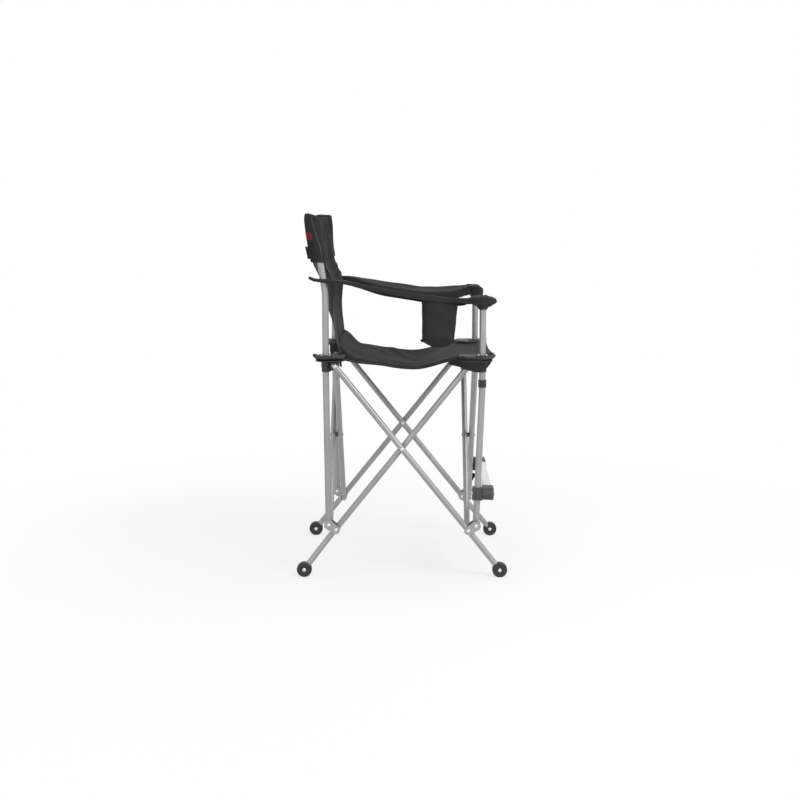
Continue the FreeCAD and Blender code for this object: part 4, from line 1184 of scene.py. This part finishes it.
def make_flap(corner, side_x, side_y):
    axis_x = FRONT_POST_X if side_x > 0 else -REAR_POST_X
    circles = flap_circles(axis_x, side_x > 0)
    rows = []
    for grow, z in FLAP_PROFILE:
        outline = hull_outline(circles, FLAP_SIDES, grow)
        rows.append([Vector((side_x * x, side_y * y, z)) for x, y in outline])
    for row in rows[2:]:
        for point in row:
            point.z += 0.0012 * lumps(point.x, point.y, 5.0, 0.015)
            point.z += FLAP_LIP * smooth(0.026, 0.042, side_x * point.x - axis_x)
    cx, cy = side_x * axis_x, side_y * SIDE_Y
    ways = [unit(Vector((point.x - cx, point.y - cy, 0)), (1, 0, 0)) for point in rows[0]]
    for radius in FLAP_INNER_RADII:
        rows.append([Vector((cx, cy, FLAP_TOP_Z)) + way * radius for way in ways])
    rows.append([Vector((point.x, point.y, FLAP_LOW_Z)) for point in rows[-1]])
    points = [point for row in rows for point in row]
    faces = ring_faces(len(rows), FLAP_SIDES, closed=True)
    if side_x * side_y < 0:
        faces = [face[::-1] for face in faces]
    uvs = [[(points[index].x, points[index].y) for index in face] for face in faces]
    made = Made()
    made.add(points, faces, uvs, PLAIN)
    rim = [point + Vector((0, 0, 0.0004)) for point in rows[FLAP_STITCHED_ROW]]
    stitches(made, rim + rim[:1], [Vector((0, 0, 1))] * (FLAP_SIDES + 1))
    piece = made.piece("seat_flap_" + corner, [coated_cloth, thread])
    place(piece, corner + "_hub", "black_cloth")
    make_flap_ring(corner, cx, cy)


def lathe(made, profile, centre, count, kind):
    """Ring or dome turned from a profile of (radius, height). A profile that closes makes a ring."""
    closed = profile[0] == profile[-1]
    rows = profile[:-1] if closed else profile
    points = [centre + Vector((radius * math.cos(turn), radius * math.sin(turn), z))
              for radius, z in rows for turn in turns(count)]
    faces = ring_faces(len(rows), count, closed)
    if not closed:
        faces.append(list(range((len(rows) - 1) * count, len(rows) * count)))
        faces.append(list(reversed(range(count))))
    made.add(points, faces, [[(TRIM_UV * n, 0) for n in range(len(face))] for face in faces], kind)


def make_flap_ring(corner, cx, cy):
    made = Made()
    profile = [(radius, FLAP_RING_Z + rise) for radius, rise in FLAP_RING]
    lathe(made, profile, Vector((cx, cy, 0)), count=48, kind=0)
    for step in range(4):
        turn = math.pi / 4 + step * math.pi / 2
        where = Vector((cx + RIVET_CIRCLE_R * math.cos(turn), cy + RIVET_CIRCLE_R * math.sin(turn),
                        FLAP_RING_Z + FLAP_RING_HEIGHT))
        lathe(made, RIVET_DOME, where, count=16, kind=1)
    piece = made.piece("flap_ring_" + corner, [black_plastic, rivet_steel])
    place(piece, corner + "_hub", "black_plastic")


# Cloth pockets round the hubs, under the flaps

# Share of the way round a hub, x and distance from the middle plane, upper and lower edge
FRONT_HUB_POCKET = [(0.0, 0.158, 0.2360, 0.7345, 0.7240), (0.2, 0.186, 0.2720, 0.7435, 0.7215),
                    (0.4, 0.222, 0.2960, 0.7450, 0.7110), (0.6, 0.256, 0.2985, 0.7450, 0.7050),
                    (0.75, 0.279, 0.2945, 0.7450, 0.7160), (0.88, 0.294, 0.2800, 0.7450, 0.7320),
                    (1.0, 0.2985, 0.2620, 0.7450, 0.7380)]
REAR_HUB_POCKET = [(0.0, -0.206, 0.2110, 0.7470, 0.7110), (0.3, -0.218, 0.2065, 0.7470, 0.7040),
                   (0.65, -0.250, 0.2070, 0.7470, 0.7040), (0.85, -0.266, 0.2160, 0.7470, 0.7060),
                   (1.0, -0.2715, 0.2360, 0.7470, 0.7160)]
# Where the cross tube comes out under a rear pocket's edge
REAR_ARCH_X = {1: -0.2475, -1: -0.2235}
REAR_ARCH_HEIGHT = 0.0135
REAR_ARCH_LENGTH = 0.014
HUB_POCKET_ROWS = 9
HUB_POCKET_SEAM = 7


def hub_pocket_point(side_y, outline, way, share, bulge=0.0015, dents=0.0012):
    """Middle of a hub pocket's cloth, at a share of the way round it and of the way down."""
    x, y, high_z, low_z = row_at(outline, way)
    if x < 0:
        low_z += REAR_ARCH_HEIGHT * bell(x, REAR_ARCH_X[side_y], REAR_ARCH_LENGTH, power=4)
    belly = bulge * math.sin(math.pi * share) + dents * lumps(x, y, share * 0.03, 0.02)
    return Vector((x, side_y * (y + belly), high_z + (low_z - high_z) * share))


def make_hub_pocket(corner, side_y, outline):
    ways = spread(0.0, 1.0, 40)
    grid = []
    for share in spread(0.0, 1.0, HUB_POCKET_ROWS):
        grid.append([hub_pocket_point(side_y, outline, way, share) for way in ways])

    def thick(i, j):
        return THIN_HEM_CLOTH if i >= HUB_POCKET_SEAM else CLOTH

    made = Made()
    normals = shell(made, grid, thick)
    sew(made, grid, normals, thick, rows=[HUB_POCKET_SEAM])
    piece = cloth_piece(made, "hub_pocket_" + corner, corner + "_hub")


for corner, side_x, side_y in (("front_left", 1, 1), ("front_right", 1, -1),
                               ("rear_left", -1, 1), ("rear_right", -1, -1)):
    make_flap(corner, side_x, side_y)
    make_hub_pocket(corner, side_y, FRONT_HUB_POCKET if side_x > 0 else REAR_HUB_POCKET)


# Short strap end that hangs under the footrest's left clamp

# Places along the strap in x and z, with one more that gives its last direction
STRAP_PATH = [(0.270, 0.247), (0.268, 0.238), (0.261, 0.227), (0.255, 0.218), (0.252, 0.207),
              (0.2508, 0.196), (0.2505, 0.186), (0.2502, 0.176)]
STRAP_COLUMNS = [-0.0055, -0.002, 0.002, 0.0055]
STRAP_CLOTH = 0.0018
STRAP_Y = SIDE_Y - POST_R - 0.0022


def make_strap():
    grid = []
    for (x, z), (next_x, next_z) in zip(STRAP_PATH, STRAP_PATH[1:]):
        way = unit(Vector((next_x - x, 0, next_z - z)))
        side = Vector((way.z, 0, -way.x))
        grid.append([Vector((x, STRAP_Y, z)) + side * share for share in STRAP_COLUMNS])
    made = Made()
    shell(made, grid, lambda i, j: STRAP_CLOTH, TAPE)
    piece = cloth_piece(made, "footrest_strap", "front_left_post")


make_strap()


# Floor, light and camera

FLOOR_HALF = 40.0
# The floor turns into the white background between these distances from the chair
FLOOR_FADE = (0.5, 2.2)
FLOOR_GLOW = 0.7
WORLD_LIGHT = 0.58
LIGHT_TARGET = Vector((0, 0, 0.6))
# Name, place, size and power in watts
LIGHTS = [("key", (2.3, -2.1, 3.0), (1.8, 1.8), 72), ("fill", (-1.2, -3.2, 1.7), (1.6, 2.0), 12),
          ("top", (0.0, 0.4, 3.4), (2.2, 2.2), 22)]
CAMERA_PLACE = (0.0274, -4.6625, 1.2641)
CAMERA_YAW = -0.0078
CAMERA_PITCH = 0.1486
CAMERA_LENS = 59.48
CAMERA_SENSOR = 36.0


def seen_directly(tree):
    """1 for rays from the camera, from gloss and through glass."""
    path = node(tree, "LightPath")
    first = math_node(tree, "MAXIMUM", path.outputs["Is Camera Ray"], path.outputs["Is Glossy Ray"])
    return math_node(tree, "MAXIMUM", first, path.outputs["Is Transmission Ray"])


def floor_material():
    """Matt white that glows more and more away from the chair, for rays that see it directly."""
    material, tree, shader = new_material("white_floor", (0.9, 0.9, 0.9), roughness=0.9)
    shader.inputs["Specular IOR Level"].default_value = 0.0
    glow = node(tree, "Emission", Color=(1, 1, 1, 1), Strength=1.0)
    mix = node(tree, "MixShader")
    coordinates = node(tree, "TexCoord")
    reach = node(tree, "VectorMath", operation="LENGTH")
    tree.links.new(coordinates.outputs["Object"], reach.inputs[0])
    fade = node(tree, "MapRange", interpolation_type="SMOOTHSTEP")
    for name, value in zip(("From Min", "From Max", "To Min", "To Max"), (*FLOOR_FADE, FLOOR_GLOW, 1.0)):
        fade.inputs[name].default_value = value
    tree.links.new(reach.outputs["Value"], fade.inputs["Value"])
    share = math_node(tree, "MULTIPLY", seen_directly(tree), fade.outputs["Result"])
    tree.links.new(share, mix.inputs["Fac"])
    tree.links.new(shader.outputs["BSDF"], mix.inputs[1])
    tree.links.new(glow.outputs["Emission"], mix.inputs[2])
    tree.links.new(mix.outputs["Shader"], tree.nodes["Material Output"].inputs["Surface"])
    return material


def make_floor():
    mesh = bpy.data.meshes.new("floor")
    corners = [(x * FLOOR_HALF, y * FLOOR_HALF, 0) for x, y in ((-1, -1), (1, -1), (1, 1), (-1, 1))]
    mesh.from_pydata(corners, [], [(0, 1, 2, 3)])
    mesh.materials.append(floor_material())
    floor = bpy.data.objects.new("floor", mesh)
    bpy.context.scene.collection.objects.link(floor)


def make_world():
    """White to the eye, and dimmer as a light."""
    world = bpy.data.worlds.new("studio")
    bpy.context.scene.world = world
    world.use_nodes = True
    tree = world.node_tree
    back = tree.nodes["Background"]
    back.inputs["Color"].default_value = (1, 1, 1, 1)
    strength = math_node(tree, "MULTIPLY_ADD", seen_directly(tree), 1 - WORLD_LIGHT, WORLD_LIGHT)
    tree.links.new(strength, back.inputs["Strength"])


def aim(thing, location, way):
    """Put a light or the camera at a place and turn it along a way."""
    thing.location = location
    thing.rotation_mode = "QUATERNION"
    thing.rotation_quaternion = way.to_track_quat("-Z", "Y")
    bpy.context.scene.collection.objects.link(thing)


def make_light(name, location, size, power):
    data = bpy.data.lights.new(name, "AREA")
    data.shape = "RECTANGLE"
    data.size, data.size_y = size
    data.energy = power
    aim(bpy.data.objects.new(name, data), location, LIGHT_TARGET - Vector(location))


def make_camera():
    data = bpy.data.cameras.new("camera")
    data.sensor_width = CAMERA_SENSOR
    data.lens = CAMERA_LENS
    camera = bpy.data.objects.new("camera", data)
    level = math.cos(CAMERA_PITCH)
    way = Vector((math.sin(CAMERA_YAW) * level, math.cos(CAMERA_YAW) * level, -math.sin(CAMERA_PITCH)))
    aim(camera, CAMERA_PLACE, way)
    bpy.context.scene.camera = camera


make_floor()
make_world()
for light in LIGHTS:
    make_light(*light)
make_camera()
bpy.context.scene.view_settings.view_transform = "Standard"
